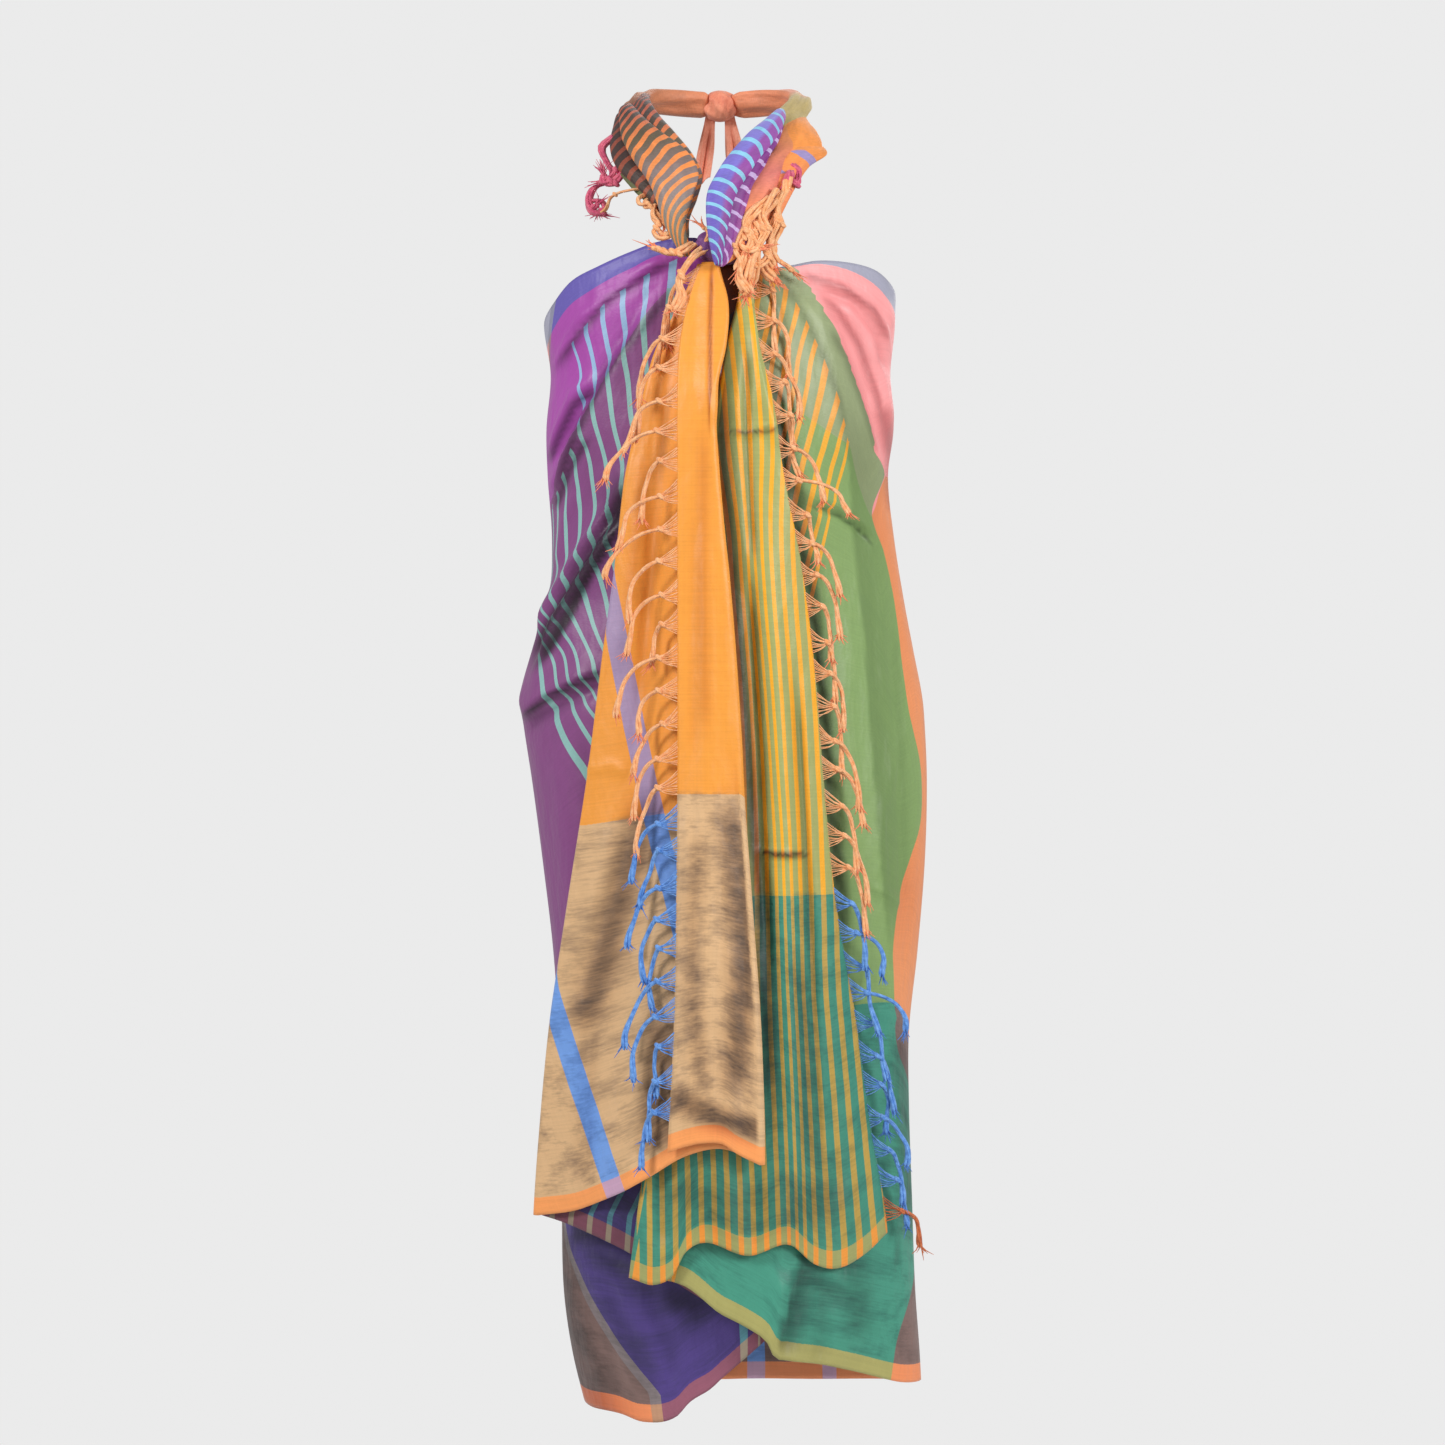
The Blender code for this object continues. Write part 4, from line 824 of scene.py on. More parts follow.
def left_wrap(along, down):
    drop = mix(level(LEFT_WRAP_TOP, along), level(LEFT_WRAP_HEM, along), down)
    fold_x = column(EDGES, "left_fold", drop) + turn_radius(drop)
    angle = mix(180, angle_at(fold_x, drop), along)
    x, _ = wound_point(angle, drop)
    y = left_wrap_y(x, angle, drop)
    covered = ease((column(EDGES, "left_fringe", drop) - x + 4) / 14) * ease((drop - 200) / 60)
    visible = np.maximum(1 - covered, ease((drop - 1085) / 20))
    lift = fold_lift(LEFT_WRAP_FOLDS, x, drop) * visible * ease((drop - KNOT_BOTTOM) / 20)
    x, y = lifted(x, y, angle, lift * ease((180 - angle) / SEAM_FADE))
    return x, y, drop, 360 - angle


PLEAT_OVER_STRIPES = [(48, 178), (60, 196), (78, 226), (95, 262), (109, 298), (116, 328), (117, 336)]
LEDGE_A = [(-30, 166), (-60, 180), (-102, 205), (-130, 235), (-151, 263)]
LEDGE_B = [(-30, 185), (-102, 271), (-136, 336), (-152, 380)]


def wound_cloth_form(along, down):
    """All three wound stretches, from the fold under the right panel to the left panel's fold."""
    stretches = [
        (along <= WOUND_SHARES[0], right_wrap, 1 - along / WOUND_SHARES[0]),
        (
            (along > WOUND_SHARES[0]) & (along <= WOUND_SHARES[1]), back_wrap,
            1 - (along - WOUND_SHARES[0]) / (WOUND_SHARES[1] - WOUND_SHARES[0]),
        ),
        (along > WOUND_SHARES[1], left_wrap, (along - WOUND_SHARES[1]) / (1 - WOUND_SHARES[1])),
    ]
    x, y, drop, turn = (np.zeros(np.shape(along)) for _ in range(4))
    top, hem = np.zeros(np.shape(along)), np.zeros(np.shape(along))
    for here, form, share in stretches:
        share = np.clip(share, 0, 1)
        if form is not back_wrap:
            share = share ** SHOWN_SHARE
        x[here], y[here], drop[here], turn[here] = form(share[here], down[here])
        top[here] = form(share[here], np.zeros(here.sum()))[2]
        hem[here] = form(share[here], np.ones(here.sum()))[2]
    above_pleat, _ = distance_to_line(x, drop, PLEAT_OVER_STRIPES)
    weft = read_weft(WOUND_LINES, turn, drop)
    on_pleat = (turn > 158) & (drop < PLEAT_END) & ((above_pleat > 5) | (turn < 200))
    weft = np.where(on_pleat, pleat_weft(turn, drop), weft)
    pink = np.interp(turn, *zip(*PINK_LINE))
    blue, shown = (smooth_read(*zip(*line), turn) for line in (BLUE_LINE, BORDER_SHOWN))
    warp = read_warp(top, pink, blue, hem, drop, shown)
    front = np.abs(np.sin(np.radians(turn))) * (y < -65)
    above_a, _ = distance_to_line(x, drop, LEDGE_A)
    above_b, _ = distance_to_line(x, drop, LEDGE_B)
    on_right = (turn < 0) & (front > 0)
    over_a = np.clip(0.5 - above_a / 10, 0, 1)
    over_b = np.clip(0.5 - above_b / 10, 0, 1)
    plain = np.where(on_right, over_a, 0.0)
    plain = np.where(on_right & (weft > 0.657), np.maximum(plain, over_b), plain)
    plain = np.where((turn > 180) & (drop < PLEAT_END), np.clip(0.5 + above_pleat / 10, 0, 1), plain)
    plain = np.where(on_right & (warp < 0.03), 1.0, plain)
    depth = shade_depth(RIGHT_WRAP_FOLDS, RIGHT_WRAP_SHADES, x, drop) * on_right
    depth = np.where(
        (turn > 180) & (front > 0), shade_depth(LEFT_WRAP_FOLDS, LEFT_WRAP_SHADES, x, drop), depth
    )
    return x, y, drop, weft, warp, plain, depth * ease(np.abs(y + 65) / 12)


WOUND_COLUMNS = (70, 26, 70)
WOUND_ROWS = 264
SHOWN_SHARE = 1.45
WOUND_SHARES = (WOUND_COLUMNS[0] / sum(WOUND_COLUMNS), sum(WOUND_COLUMNS[:2]) / sum(WOUND_COLUMNS))
wound_cloth = cloth_sheet("wound_cloth", wound_cloth_form, sum(WOUND_COLUMNS), WOUND_ROWS)
print("wound cloth:", len(wound_cloth.data.polygons), "faces")

# %% [markdown]
# ## The right end
#
# From its fringe the right end runs as a narrow strip to a fold, back across as the broad
# orange panel, round a second fold, and behind itself to the first stretch of the wrap.

# %% The right end's form
RIGHT_END_SEGMENTS = ("strip", "front_turn", "panel", "side_turn", "hidden", "inner_turn")
RIGHT_END_COLUMNS = (22, 6, 54, 6, 30, 6)
LEFT_END_COLUMNS = (6, 66)
PANEL_LINES = [
    WeaveLine(0.085, [(176, 4), (211, -7), (302, 3), (446, -6), (644, -22), (861, -37), (1041, -40)]),
    WeaveLine(0.170, [(176, 130), (391, 108), (468, 93), (672, 50), (843, 5), (952, -27), (1041, -50)]),
    WeaveLine(0.190, [
        (176, 150), (391, 128), (468, 113), (672, 70), (843, 25), (952, -7), (1041, -30),
    ]),
    WeaveLine(0.254, [(176, 280), (391, 226), (662, 199), (830, 149), (1001, 90), (1041, 75)]),
    WeaveLine(0.274, [(176, 300), (391, 246), (662, 219), (830, 169), (1001, 110), (1041, 95)]),
]


def segments(along, names, sizes):
    """Splits a path's share into its named segments: which one, and the share within it."""
    ends = np.cumsum(sizes) / sum(sizes)
    starts = ends - np.array(sizes) / sum(sizes)
    index = np.clip(np.searchsorted(ends, along - 1e-9, side="left"), 0, len(names) - 1)
    return {
        name: (index == i, (along - starts[i]) / (ends[i] - starts[i]))
        for i, name in enumerate(names)
    }


def side_weft(panel_end, drop):
    """The weft measure at the fold on the panel's free side."""
    return read_weft(PANEL_LINES, -panel_end, drop)


def right_end_form(along, down):
    parts = segments(along, RIGHT_END_SEGMENTS, RIGHT_END_COLUMNS)
    x, y, hem, weft = (np.zeros(np.shape(along)) for _ in range(4))
    blue, depth = np.zeros(np.shape(along)), np.zeros(np.shape(along))
    for name, (here, share) in parts.items():
        levels = {
            "strip": level(STRIP_HEM, share),
            "front_turn": 989.0,
            "panel": level(PANEL_HEM, share),
            "side_turn": 1045.0,
            "hidden": level(HIDDEN_HEM, share),
            "inner_turn": mix(1150.0, 1156.0, share),
        }
        hem = np.where(here, levels[name], hem)
    drop = mix(KNOT_BOTTOM + 0.4, hem, down)
    edge = {name: column(EDGES, name, drop) for name in Edges._fields[1:]}
    radius = turn_radius(drop)
    strip_end = edge["strip_fold"] - radius
    panel_end = edge["panel_fold"] + radius
    hidden_end = edge["inner_fold"] - radius + behind_gap(drop)
    for name, (here, share) in parts.items():
        deep = np.zeros(np.shape(along))
        if name == "strip":
            px = mix(edge["right_fringe"], strip_end, share)
            deep = shade_depth(STRIP_FOLDS, STRIP_SHADES, px, drop)
            py = strip_y(px, drop) - fold_lift(STRIP_FOLDS, px, drop)
            measure = (px - edge["right_fringe"]) * MM
            change = np.full(np.shape(px), 654.0)
        elif name == "front_turn":
            back = right_panel_y(strip_end, drop) - fold_lift(PANEL_FOLDS, strip_end, drop)
            front = strip_y(strip_end, drop) - fold_lift(STRIP_FOLDS, strip_end, drop)
            px, py = turned(strip_end, back, front, 1 - share, 1)
            measure = np.full(np.shape(px), 0.08)
            change = mix(654.0, 662.0, share)
        elif name == "panel":
            px = mix(strip_end, panel_end, share)
            py = right_panel_y(px, drop) - fold_lift(PANEL_FOLDS, px, drop)
            deep = shade_depth(PANEL_FOLDS, PANEL_SHADES, px, drop)
            measure = read_weft(PANEL_LINES, -px, drop)
            change = 673 - (px + 59) * 0.16
        elif name == "side_turn":
            front = right_panel_y(panel_end, drop) - fold_lift(PANEL_FOLDS, panel_end, drop)
            px, py = turned(panel_end, hidden_y(panel_end, drop), front, 1 - share, -1)
            measure = side_weft(panel_end, drop) + pi * radius * share * MM
            change = 673 - (panel_end + 59) * 0.16
        elif name == "hidden":
            px = mix(panel_end, hidden_end, share)
            py = hidden_y(px, drop)
            # Painted shade: the hidden pleat is darkened all over, and near black in the gap below the knot.
            in_gap = np.exp(-((px - 10) / 17) ** 2) * (1 - ease((drop - 225) / 45))
            deep = 0.45 + 0.55 * in_gap
            measure = side_weft(panel_end, drop) + (pi * radius + px - panel_end) * MM
            change = 673 - (panel_end + 59) * 0.16 + (px - panel_end) * 0.3
        else:
            _, back = wound_point(angle_at(hidden_end, drop), drop)
            px, py = turned(hidden_end, back, hidden_y(hidden_end, drop), 1 - share, 1)
            measure = side_weft(panel_end, drop) + (pi * radius * (1 + share) + hidden_end - panel_end) * MM
            change = np.full(np.shape(px), 800.0)
        x = np.where(here, px, x)
        y = np.where(here, py, y)
        weft = np.where(here, measure, weft)
        blue = np.where(here, change, blue)
        depth = np.where(here, deep, depth)
    top = np.full(np.shape(x), 60.0)
    warp = read_warp(top, np.full(np.shape(x), 100.0), blue, hem, drop)
    return x, y, drop, weft, warp, np.zeros(np.shape(x)), depth


right_end = cloth_sheet("right_end_cloth", right_end_form, sum(RIGHT_END_COLUMNS), 220)
print("right end:", len(right_end.data.polygons), "faces")

# %% [markdown]
# ## The left end
#
# The striped end turns forward at its lower left corner and lies on the left wrap.

# %% The left end's form
LEFT_PANEL_LINES = [
    WeaveLine(1.65, [
        (176, -60), (301, -43), (391, -33), (482, -27), (572, -20), (843, -20), (1069, -15),
    ]),
    WeaveLine(1.75, [
        (176, 30), (301, 43), (391, 48), (482, 53), (572, 60), (735, 66), (843, 68), (934, 73),
        (1069, 80),
    ]),
    WeaveLine(1.8125, [
        (176, 66), (301, 81), (391, 98), (482, 105), (572, 112), (746, 122), (843, 127), (934, 136),
        (1069, 150),
    ]),
]


PANEL_BEND = [(330, 26), (446, 30), (560, 40), (705, 56), (860, 66), (1000, 70)]


def left_end_form(along, down):
    parts = segments(along, ("turn", "panel"), LEFT_END_COLUMNS)
    in_turn, turn_share = parts["turn"]
    _, panel_share = parts["panel"]
    hem = np.where(in_turn, 1095.0, level(LEFT_PANEL_HEM, np.clip(panel_share, 0, 1)))
    drop = mix(KNOT_BOTTOM + 0.4, hem, down)
    fold_x = column(EDGES, "left_fold", drop) + turn_radius(drop)
    back = left_wrap_y(fold_x, angle_at(fold_x, drop), drop)
    front = left_panel_y(fold_x, drop) - fold_lift(LEFT_PANEL_FOLDS, fold_x, drop)
    turn_x, turn_y = turned(fold_x, back, front, turn_share, -1)
    panel_x = mix(fold_x, column(EDGES, "left_fringe", drop), panel_share)
    panel_y = left_panel_y(panel_x, drop) - fold_lift(LEFT_PANEL_FOLDS, panel_x, drop)
    x = np.where(in_turn, turn_x, panel_x)
    bend = np.interp(drop, *zip(*PANEL_BEND))
    drawn = 0.0095 * np.tanh((panel_x - bend) / 12) * ease((drop - 330) / 110)
    weft = read_weft(LEFT_PANEL_LINES, x, drop) + np.where(in_turn, 0.0, drawn)
    top = np.full(np.shape(x), 60.0)
    warp = read_warp(top, np.full(np.shape(x), 100.0), np.full(np.shape(x), 746.0), hem, drop)
    depth = np.where(in_turn, 0.0, shade_depth(LEFT_PANEL_FOLDS, LEFT_PANEL_SHADES, panel_x, drop))
    return x, np.where(in_turn, turn_y, panel_y), drop, weft, warp, np.zeros(np.shape(x)), depth


left_end = cloth_sheet("left_end_cloth", left_end_form, sum(LEFT_END_COLUMNS), 260)
print("left end:", len(left_end.data.polygons), "faces")

# %% [markdown]
# ## The neck rolls
#
# The two upper corners of the cloth are gathered into rolls, which cross at the chest and go
# round the neck. A roll is a bunch of pleats. Each pleat is made as a flattened closed tube
# that runs between the roll's inner and outer edge, and the pleats overlap like shingles.

# %% The edges of the two rolls
Rail = namedtuple("Rail", "inner_x inner_y inner_drop outer_x outer_y outer_drop")
RIGHT_ROLL = [
    Rail(-22, -196, 168, -34, -192, 170),
    Rail(-28, -201, 142, -47, -194, 146),
    Rail(-20, -203, 118, -62, -189, 120),
    Rail(-15, -199, 98, -76, -178, 103),
    Rail(-24, -186, 77, -92, -160, 84),
    Rail(-40, -160, 54, -99, -134, 62),
    Rail(-55, -126, 32, -97, -104, 38),
    Rail(-64, -92, 14, -95, -80, 22),
    Rail(-66, -62, 3, -92, -54, 12),
    Rail(-60, -28, -8, -80, -12, 9),
    Rail(-36, -4, -13, -50, 14, 10),
    Rail(-8, 4, -14, -10, 26, 13),
]
LEFT_ROLL = [
    Rail(-6, -216, 182, 4, -215, 182),
    Rail(-12, -217, 160, 22, -208, 166),
    Rail(-15, -216, 138, 44, -197, 142),
    Rail(-14, -213, 116, 58, -188, 116),
    Rail(-2, -204, 94, 74, -172, 86),
    Rail(18, -182, 67, 90, -146, 66),
    Rail(38, -152, 44, 86, -120, 46),
    Rail(52, -118, 24, 82, -92, 30),
    Rail(64, -74, 6, 88, -62, 14),
    Rail(60, -28, -8, 80, -12, 9),
    Rail(36, -4, -13, 50, 14, 10),
    Rail(8, 4, -14, 10, 26, 13),
]
NECK_MIDDLE = np.array([0.0, -80.0, 0.0])


def roll_edges(rails, share):
    """The inner and outer edge of a roll, as points with z up."""
    places = np.linspace(0, 1, len(rails))
    row = {n: smooth_read(places, [getattr(r, n) for r in rails], share) for n in Rail._fields}
    inner = np.stack([row["inner_x"], row["inner_y"], -row["inner_drop"]], axis=1)
    outer = np.stack([row["outer_x"], row["outer_y"], -row["outer_drop"]], axis=1)
    return inner, outer


def roll_outward(rails, share):
    """The direction that leads out of a roll, away from the neck."""
    ahead = roll_edges(rails, np.clip(share + 0.03, 0, 1))
    behind = roll_edges(rails, np.clip(share - 0.03, 0, 1))
    inner, outer = roll_edges(rails, share)
    normal = np.cross(sum(ahead) - sum(behind), outer - inner)
    normal = normal / np.linalg.norm(normal, axis=1)[:, None]
    away = (inner + outer) / 2 - NECK_MIDDLE
    away[:, 2] = 0
    return normal * np.sign((normal * away).sum(axis=1))[:, None]


# %% The pleats of each roll
Pleat = namedtuple("Pleat", "share inner outer front thickness")
RIGHT_PLEATS = {
    "inner": [
        Pleat(0.05, 0.00, 0.50, 0, 6), Pleat(0.18, 0.00, 0.50, 1, 8), Pleat(0.30, 0.00, 0.50, 2, 9),
        Pleat(0.40, 0.00, 0.52, 2, 10), Pleat(0.50, 0.00, 0.60, 1, 10), Pleat(0.60, 0.00, 0.62, 0, 10),
        Pleat(0.70, 0.00, 0.66, 0, 9), Pleat(0.78, 0.05, 0.80, 0, 9),
    ],
    "front": [
        Pleat(0.00, 0.10, 0.90, 5, 4), Pleat(0.09, 0.05, 0.95, 6, 8), Pleat(0.18, 0.04, 0.85, 7, 11),
        Pleat(0.27, 0.03, 0.80, 8, 12), Pleat(0.36, 0.05, 0.78, 8, 12), Pleat(0.45, 0.20, 0.80, 8, 11),
        Pleat(0.53, 0.34, 0.84, 7, 10), Pleat(0.60, 0.45, 0.90, 5, 8), Pleat(0.655, 0.60, 0.85, 4, 3),
    ],
    "outer": [
        Pleat(0.10, 0.75, 1.00, -2, 5), Pleat(0.20, 0.70, 1.02, -2, 8), Pleat(0.30, 0.68, 1.02, -2, 9),
        Pleat(0.40, 0.70, 1.04, -1, 9), Pleat(0.48, 0.72, 1.04, 0, 8), Pleat(0.56, 0.78, 1.04, 1, 7),
        Pleat(0.63, 0.80, 1.00, 1, 3),
    ],
    "olive": [
        Pleat(0.08, 0.80, 1.06, -6, 4), Pleat(0.18, 0.85, 1.12, -6, 5), Pleat(0.26, 0.86, 1.10, -6, 5),
        Pleat(0.36, 0.90, 1.04, -6, 3),
    ],
    "core": [
        Pleat(0.40, 0.20, 0.80, -6, 4), Pleat(0.50, 0.12, 0.88, -5, 8), Pleat(0.60, 0.10, 0.92, -4, 11),
        Pleat(0.70, 0.05, 0.95, -2, 13), Pleat(0.80, 0.05, 0.95, 0, 15), Pleat(0.90, 0.05, 0.95, 0, 15),
        Pleat(1.00, 0.10, 0.90, 0, 14),
    ],
}
LEFT_PLEATS = {
    "violet": [
        Pleat(0.00, 0.00, 0.60, 6, 3), Pleat(0.09, 0.00, 0.42, 8, 7), Pleat(0.18, 0.00, 0.36, 9, 9),
        Pleat(0.27, 0.00, 0.37, 9, 10), Pleat(0.36, 0.00, 0.41, 9, 10), Pleat(0.45, 0.00, 0.40, 8, 10),
        Pleat(0.52, 0.00, 0.40, 7, 9), Pleat(0.58, 0.02, 0.36, 5, 7), Pleat(0.63, 0.04, 0.26, 3, 3),
    ],
    "purple": [
        Pleat(0.00, 0.20, 0.80, 4, 3), Pleat(0.09, 0.20, 0.62, 5, 6), Pleat(0.18, 0.22, 0.50, 5, 7),
        Pleat(0.27, 0.25, 0.50, 5, 7), Pleat(0.36, 0.30, 0.50, 4, 7), Pleat(0.45, 0.30, 0.46, 3, 6),
        Pleat(0.55, 0.32, 0.42, 2, 3),
    ],
    "plum": [
        Pleat(0.00, 0.40, 0.95, 2, 3), Pleat(0.09, 0.40, 0.75, 3, 5), Pleat(0.18, 0.38, 0.60, 3, 6),
        Pleat(0.27, 0.40, 0.58, 2, 6), Pleat(0.36, 0.44, 0.56, 1, 5), Pleat(0.43, 0.44, 0.50, 0, 3),
    ],
    "coral": [
        Pleat(0.02, 0.60, 1.00, -1, 4), Pleat(0.09, 0.55, 1.05, 0, 8), Pleat(0.18, 0.50, 0.96, 1, 10),
        Pleat(0.27, 0.50, 0.88, 1, 10), Pleat(0.36, 0.50, 0.80, 0, 9), Pleat(0.45, 0.44, 0.72, 0, 8),
        Pleat(0.52, 0.40, 0.66, 0, 6), Pleat(0.57, 0.40, 0.60, 0, 3),
    ],
    "outer": [
        Pleat(0.12, 0.70, 1.08, -4, 5), Pleat(0.20, 0.70, 1.10, -4, 8), Pleat(0.30, 0.66, 1.08, -3, 10),
        Pleat(0.38, 0.64, 1.10, -2, 11), Pleat(0.44, 0.62, 1.14, -1, 10), Pleat(0.49, 0.64, 1.06, -2, 4),
    ],
    "upper": [
        Pleat(0.38, 0.45, 0.90, -3, 5), Pleat(0.46, 0.42, 1.04, -1, 9), Pleat(0.54, 0.40, 1.08, 0, 10),
        Pleat(0.60, 0.44, 1.04, 0, 8), Pleat(0.65, 0.50, 0.95, 0, 3),
    ],
    "core": [
        Pleat(0.02, 0.20, 0.80, -5, 5), Pleat(0.20, 0.10, 0.90, -6, 9), Pleat(0.36, 0.10, 0.90, -6, 10),
        Pleat(0.55, 0.08, 0.95, -4, 12), Pleat(0.70, 0.05, 0.95, -1, 14), Pleat(0.80, 0.05, 0.95, 0, 15),
        Pleat(0.90, 0.05, 0.95, 0, 15), Pleat(1.00, 0.10, 0.90, 0, 14),
    ],
}
PLEAT_AROUND = 36
PLEAT_ALONG = 90
ROLL_LENGTH = 0.34


def add_pleat(bm, rails, stations, material_index, wave):
    """Adds one pleat to a roll: a grid wrapped into a flattened tube and closed at both ends."""
    made = bmesh.ops.create_grid(bm, x_segments=PLEAT_AROUND, y_segments=PLEAT_ALONG, size=0.5)
    verts = made["verts"]
    spots = np.array([v.co for v in verts])
    around = (spots[:, 0] + 0.5) * 2 * pi
    run = np.clip(spots[:, 1] + 0.5, 0, 1)
    share = mix(stations[0].share, stations[-1].share, run)
    row = {
        name: smooth_read([s.share for s in stations], [getattr(s, name) for s in stations], share)
        for name in Pleat._fields[1:]
    }
    inner, outer = roll_edges(rails, share)
    outward = roll_outward(rails, share)
    closing = np.sqrt(np.clip(np.minimum(run, 1 - run) / 0.03, 0, 1))
    half = (row["outer"] - row["inner"]) / 2 * mix(0.5, 1.0, closing)
    across = (row["outer"] + row["inner"]) / 2 + half * np.cos(around)
    crease = np.sin(share * 31 + across * 9 + wave) + 0.6 * np.sin(share * 57 - across * 14 + 2 * wave)
    ridges = 0.09 * np.sin(5 * around + 7 * share + wave) * ease((row["thickness"] - 9) / 4)
    swell = row["thickness"] / 2 * closing * np.sin(around) * (1 + 2 * ridges)
    depth = row["front"] + swell + 0.35 * crease
    points = inner + (outer - inner) * across[:, None] + outward * depth[:, None]
    for v, point in zip(verts, points):
        v.co = Vector(point) * MM
    weave = bm.loops.layers.uv.verify()
    order = {v: i for i, v in enumerate(verts)}
    faces = {face for v in verts for face in v.link_faces}
    for face in faces:
        face.material_index = material_index
        face.smooth = True
        for loop in face.loops:
            i = order[loop.vert]
            loop[weave].uv = (share[i] * ROLL_LENGTH, across[i])
    bmesh.ops.remove_doubles(bm, verts=verts, dist=1e-6)
    return faces


def neck_roll(name, rails, pleats):
    """A neck roll, as one piece whose pleats have a material each."""
    bm = bmesh.new()
    bm.loops.layers.uv.new("weave")
    for index, stations in enumerate(pleats.values()):
        add_pleat(bm, rails, stations, index, 1.7 * index)
    open_ends = [e for e in bm.edges if e.is_boundary]
    bmesh.ops.holes_fill(bm, edges=open_ends)
    bmesh.ops.recalc_face_normals(bm, faces=bm.faces[:])
    return new_piece(name, bm)


right_roll = neck_roll("right_neck_cloth", RIGHT_ROLL, RIGHT_PLEATS)
left_roll = neck_roll("left_neck_cloth", LEFT_ROLL, LEFT_PLEATS)
print("rolls:", len(right_roll.data.polygons), len(left_roll.data.polygons), "faces")

# %% [markdown]
# ## The knots
#
# Where the ends cross at the chest, the cloth is gathered into tight folds, and at the nape
# the corners are tied. A knot starts as a sphere, is stretched to its size, and gets the deep
# folds of wrung cloth from waves that run along it.

# %% Gather the knots
Knot = namedtuple("Knot", "name place half_size twist folds depth")
CHEST_KNOT = Knot("chest_gather", (4, -199, -161), (25, 15, 17), 1.6, 7, 0.10)
NAPE_KNOT = Knot("nape_tie", (0, 15, 0), (16, 14.5, 15), 2.4, 6, 0.10)


def gathered_knot(knot):
    bm = bmesh.new()
    bmesh.ops.create_uvsphere(bm, u_segments=72, v_segments=48, radius=1.0)
    for v in bm.verts:
        turn = np.arctan2(v.co.y, v.co.x)
        fold = np.sin(knot.folds * turn + knot.twist * v.co.z * 2) + 0.5 * np.sin(13 * turn - 3 * v.co.z)
        reach = 1 + knot.depth * fold * (1 - abs(v.co.z) ** 4)
        v.co = Vector((v.co.x * reach, v.co.y * reach, np.sign(v.co.z) * abs(v.co.z) ** 0.8))
        v.co = Vector([knot.place[k] + v.co[k] * knot.half_size[k] for k in range(3)]) * MM
    bmesh.ops.recalc_face_normals(bm, faces=bm.faces[:])
    return new_piece(knot.name, bm)


chest_knot = gathered_knot(CHEST_KNOT)
nape_knot = gathered_knot(NAPE_KNOT)
print("knots:", chest_knot.name, nape_knot.name)


# %% The two tie ends at the nape
def tie_end_form(side):
    """A short end that hangs from under the nape knot, with two soft pleats."""
    def form(along, down):
        width = mix(9.0, 15.0, ease(down * 1.6))
        x = side * (9.0 + 9.0 * down) + (along - 0.5) * 1.1 * width
        pleat = 2.2 * np.cos((along - 0.5) * 9) + 0.7 * np.cos(along * 21 + side + down * 3)
        y = 19.0 + 5.0 * down + pleat * ease(down * 2)
        drop = 8.0 + down * (65.2 + 6.0 * np.cos(along * 3))
        flat = np.zeros(np.shape(along))
        return x, y, drop, 0.9 + along * 0.03, 0.03 + down * 0.06, flat, flat
    return form


right_tie = cloth_sheet("right_tie_cloth", tie_end_form(-1), 30, 60)
left_tie = cloth_sheet("left_tie_cloth", tie_end_form(1), 30, 60)

# %% [markdown]
# ## The fringes
#
# The warp yarns are left long at both ends and knotted in bunches. A bunch spreads as a small
# web between the edge and its knot, and hangs from it as a loose twist with a frayed tip. All
# the yarns of a fringe are splines of one curve, which is made a mesh at the end. The yarns
# have the warp's colours: peach where the warp is orange, and blue below.

# %% Yarn helpers
YARNS = ("peach", "peach_tip", "blue", "blue_tip", "pink", "rust")
EDGE_ROWS = 240


yarn_finishes = [bpy.data.materials.new(name + "_yarn") for name in YARNS]


def new_yarns(name):
    data = bpy.data.curves.new(name, "CURVE")
    for finish in yarn_finishes:
        data.materials.append(finish)
    data.dimensions = "3D"
    data.bevel_depth = 1.0 * MM
    data.bevel_resolution = 0
    data.use_fill_caps = True
    return data


def add_yarn(data, points, radii, yarn, closed=False):
    """One yarn through points given as x, y, drop in millimetres."""
    spline = data.splines.new("POLY")
    spline.points.add(len(points) - 1)
    for spot, point, radius in zip(spline.points, points, radii):
        spot.co = (point[0] * MM, point[1] * MM, -point[2] * MM, 1.0)
        spot.radius = radius
    spline.use_cyclic_u = closed
    spline.use_smooth = True
    spline.material_index = YARNS.index(yarn)


def finish_yarns(data):
    """The curve as a mesh piece."""
    source = bpy.data.objects.new(data.name + "_curve", data)
    scene.collection.objects.link(source)
    graph = bpy.context.evaluated_depsgraph_get()
    mesh = bpy.data.meshes.new_from_object(source.evaluated_get(graph))
    mesh.name = data.name
    piece = bpy.data.objects.new(data.name, mesh)
    scene.collection.objects.link(piece)
    bpy.data.objects.remove(source)
    return piece


def hang_path(start, length, reach, sway, phase, steps=16):
    """The path of a loose twist: out of its knot, then down, with a lazy wave."""
    t = np.linspace(0, 1, steps)
    x = start[0] + reach * (1 - np.exp(-2.6 * t)) + sway * np.sin(5.2 * t + phase) * t
    drop = start[2] + length * (0.25 * t + 0.75 * t ** 1.5)
    return np.stack([x, np.full(steps, start[1]), drop], axis=1)


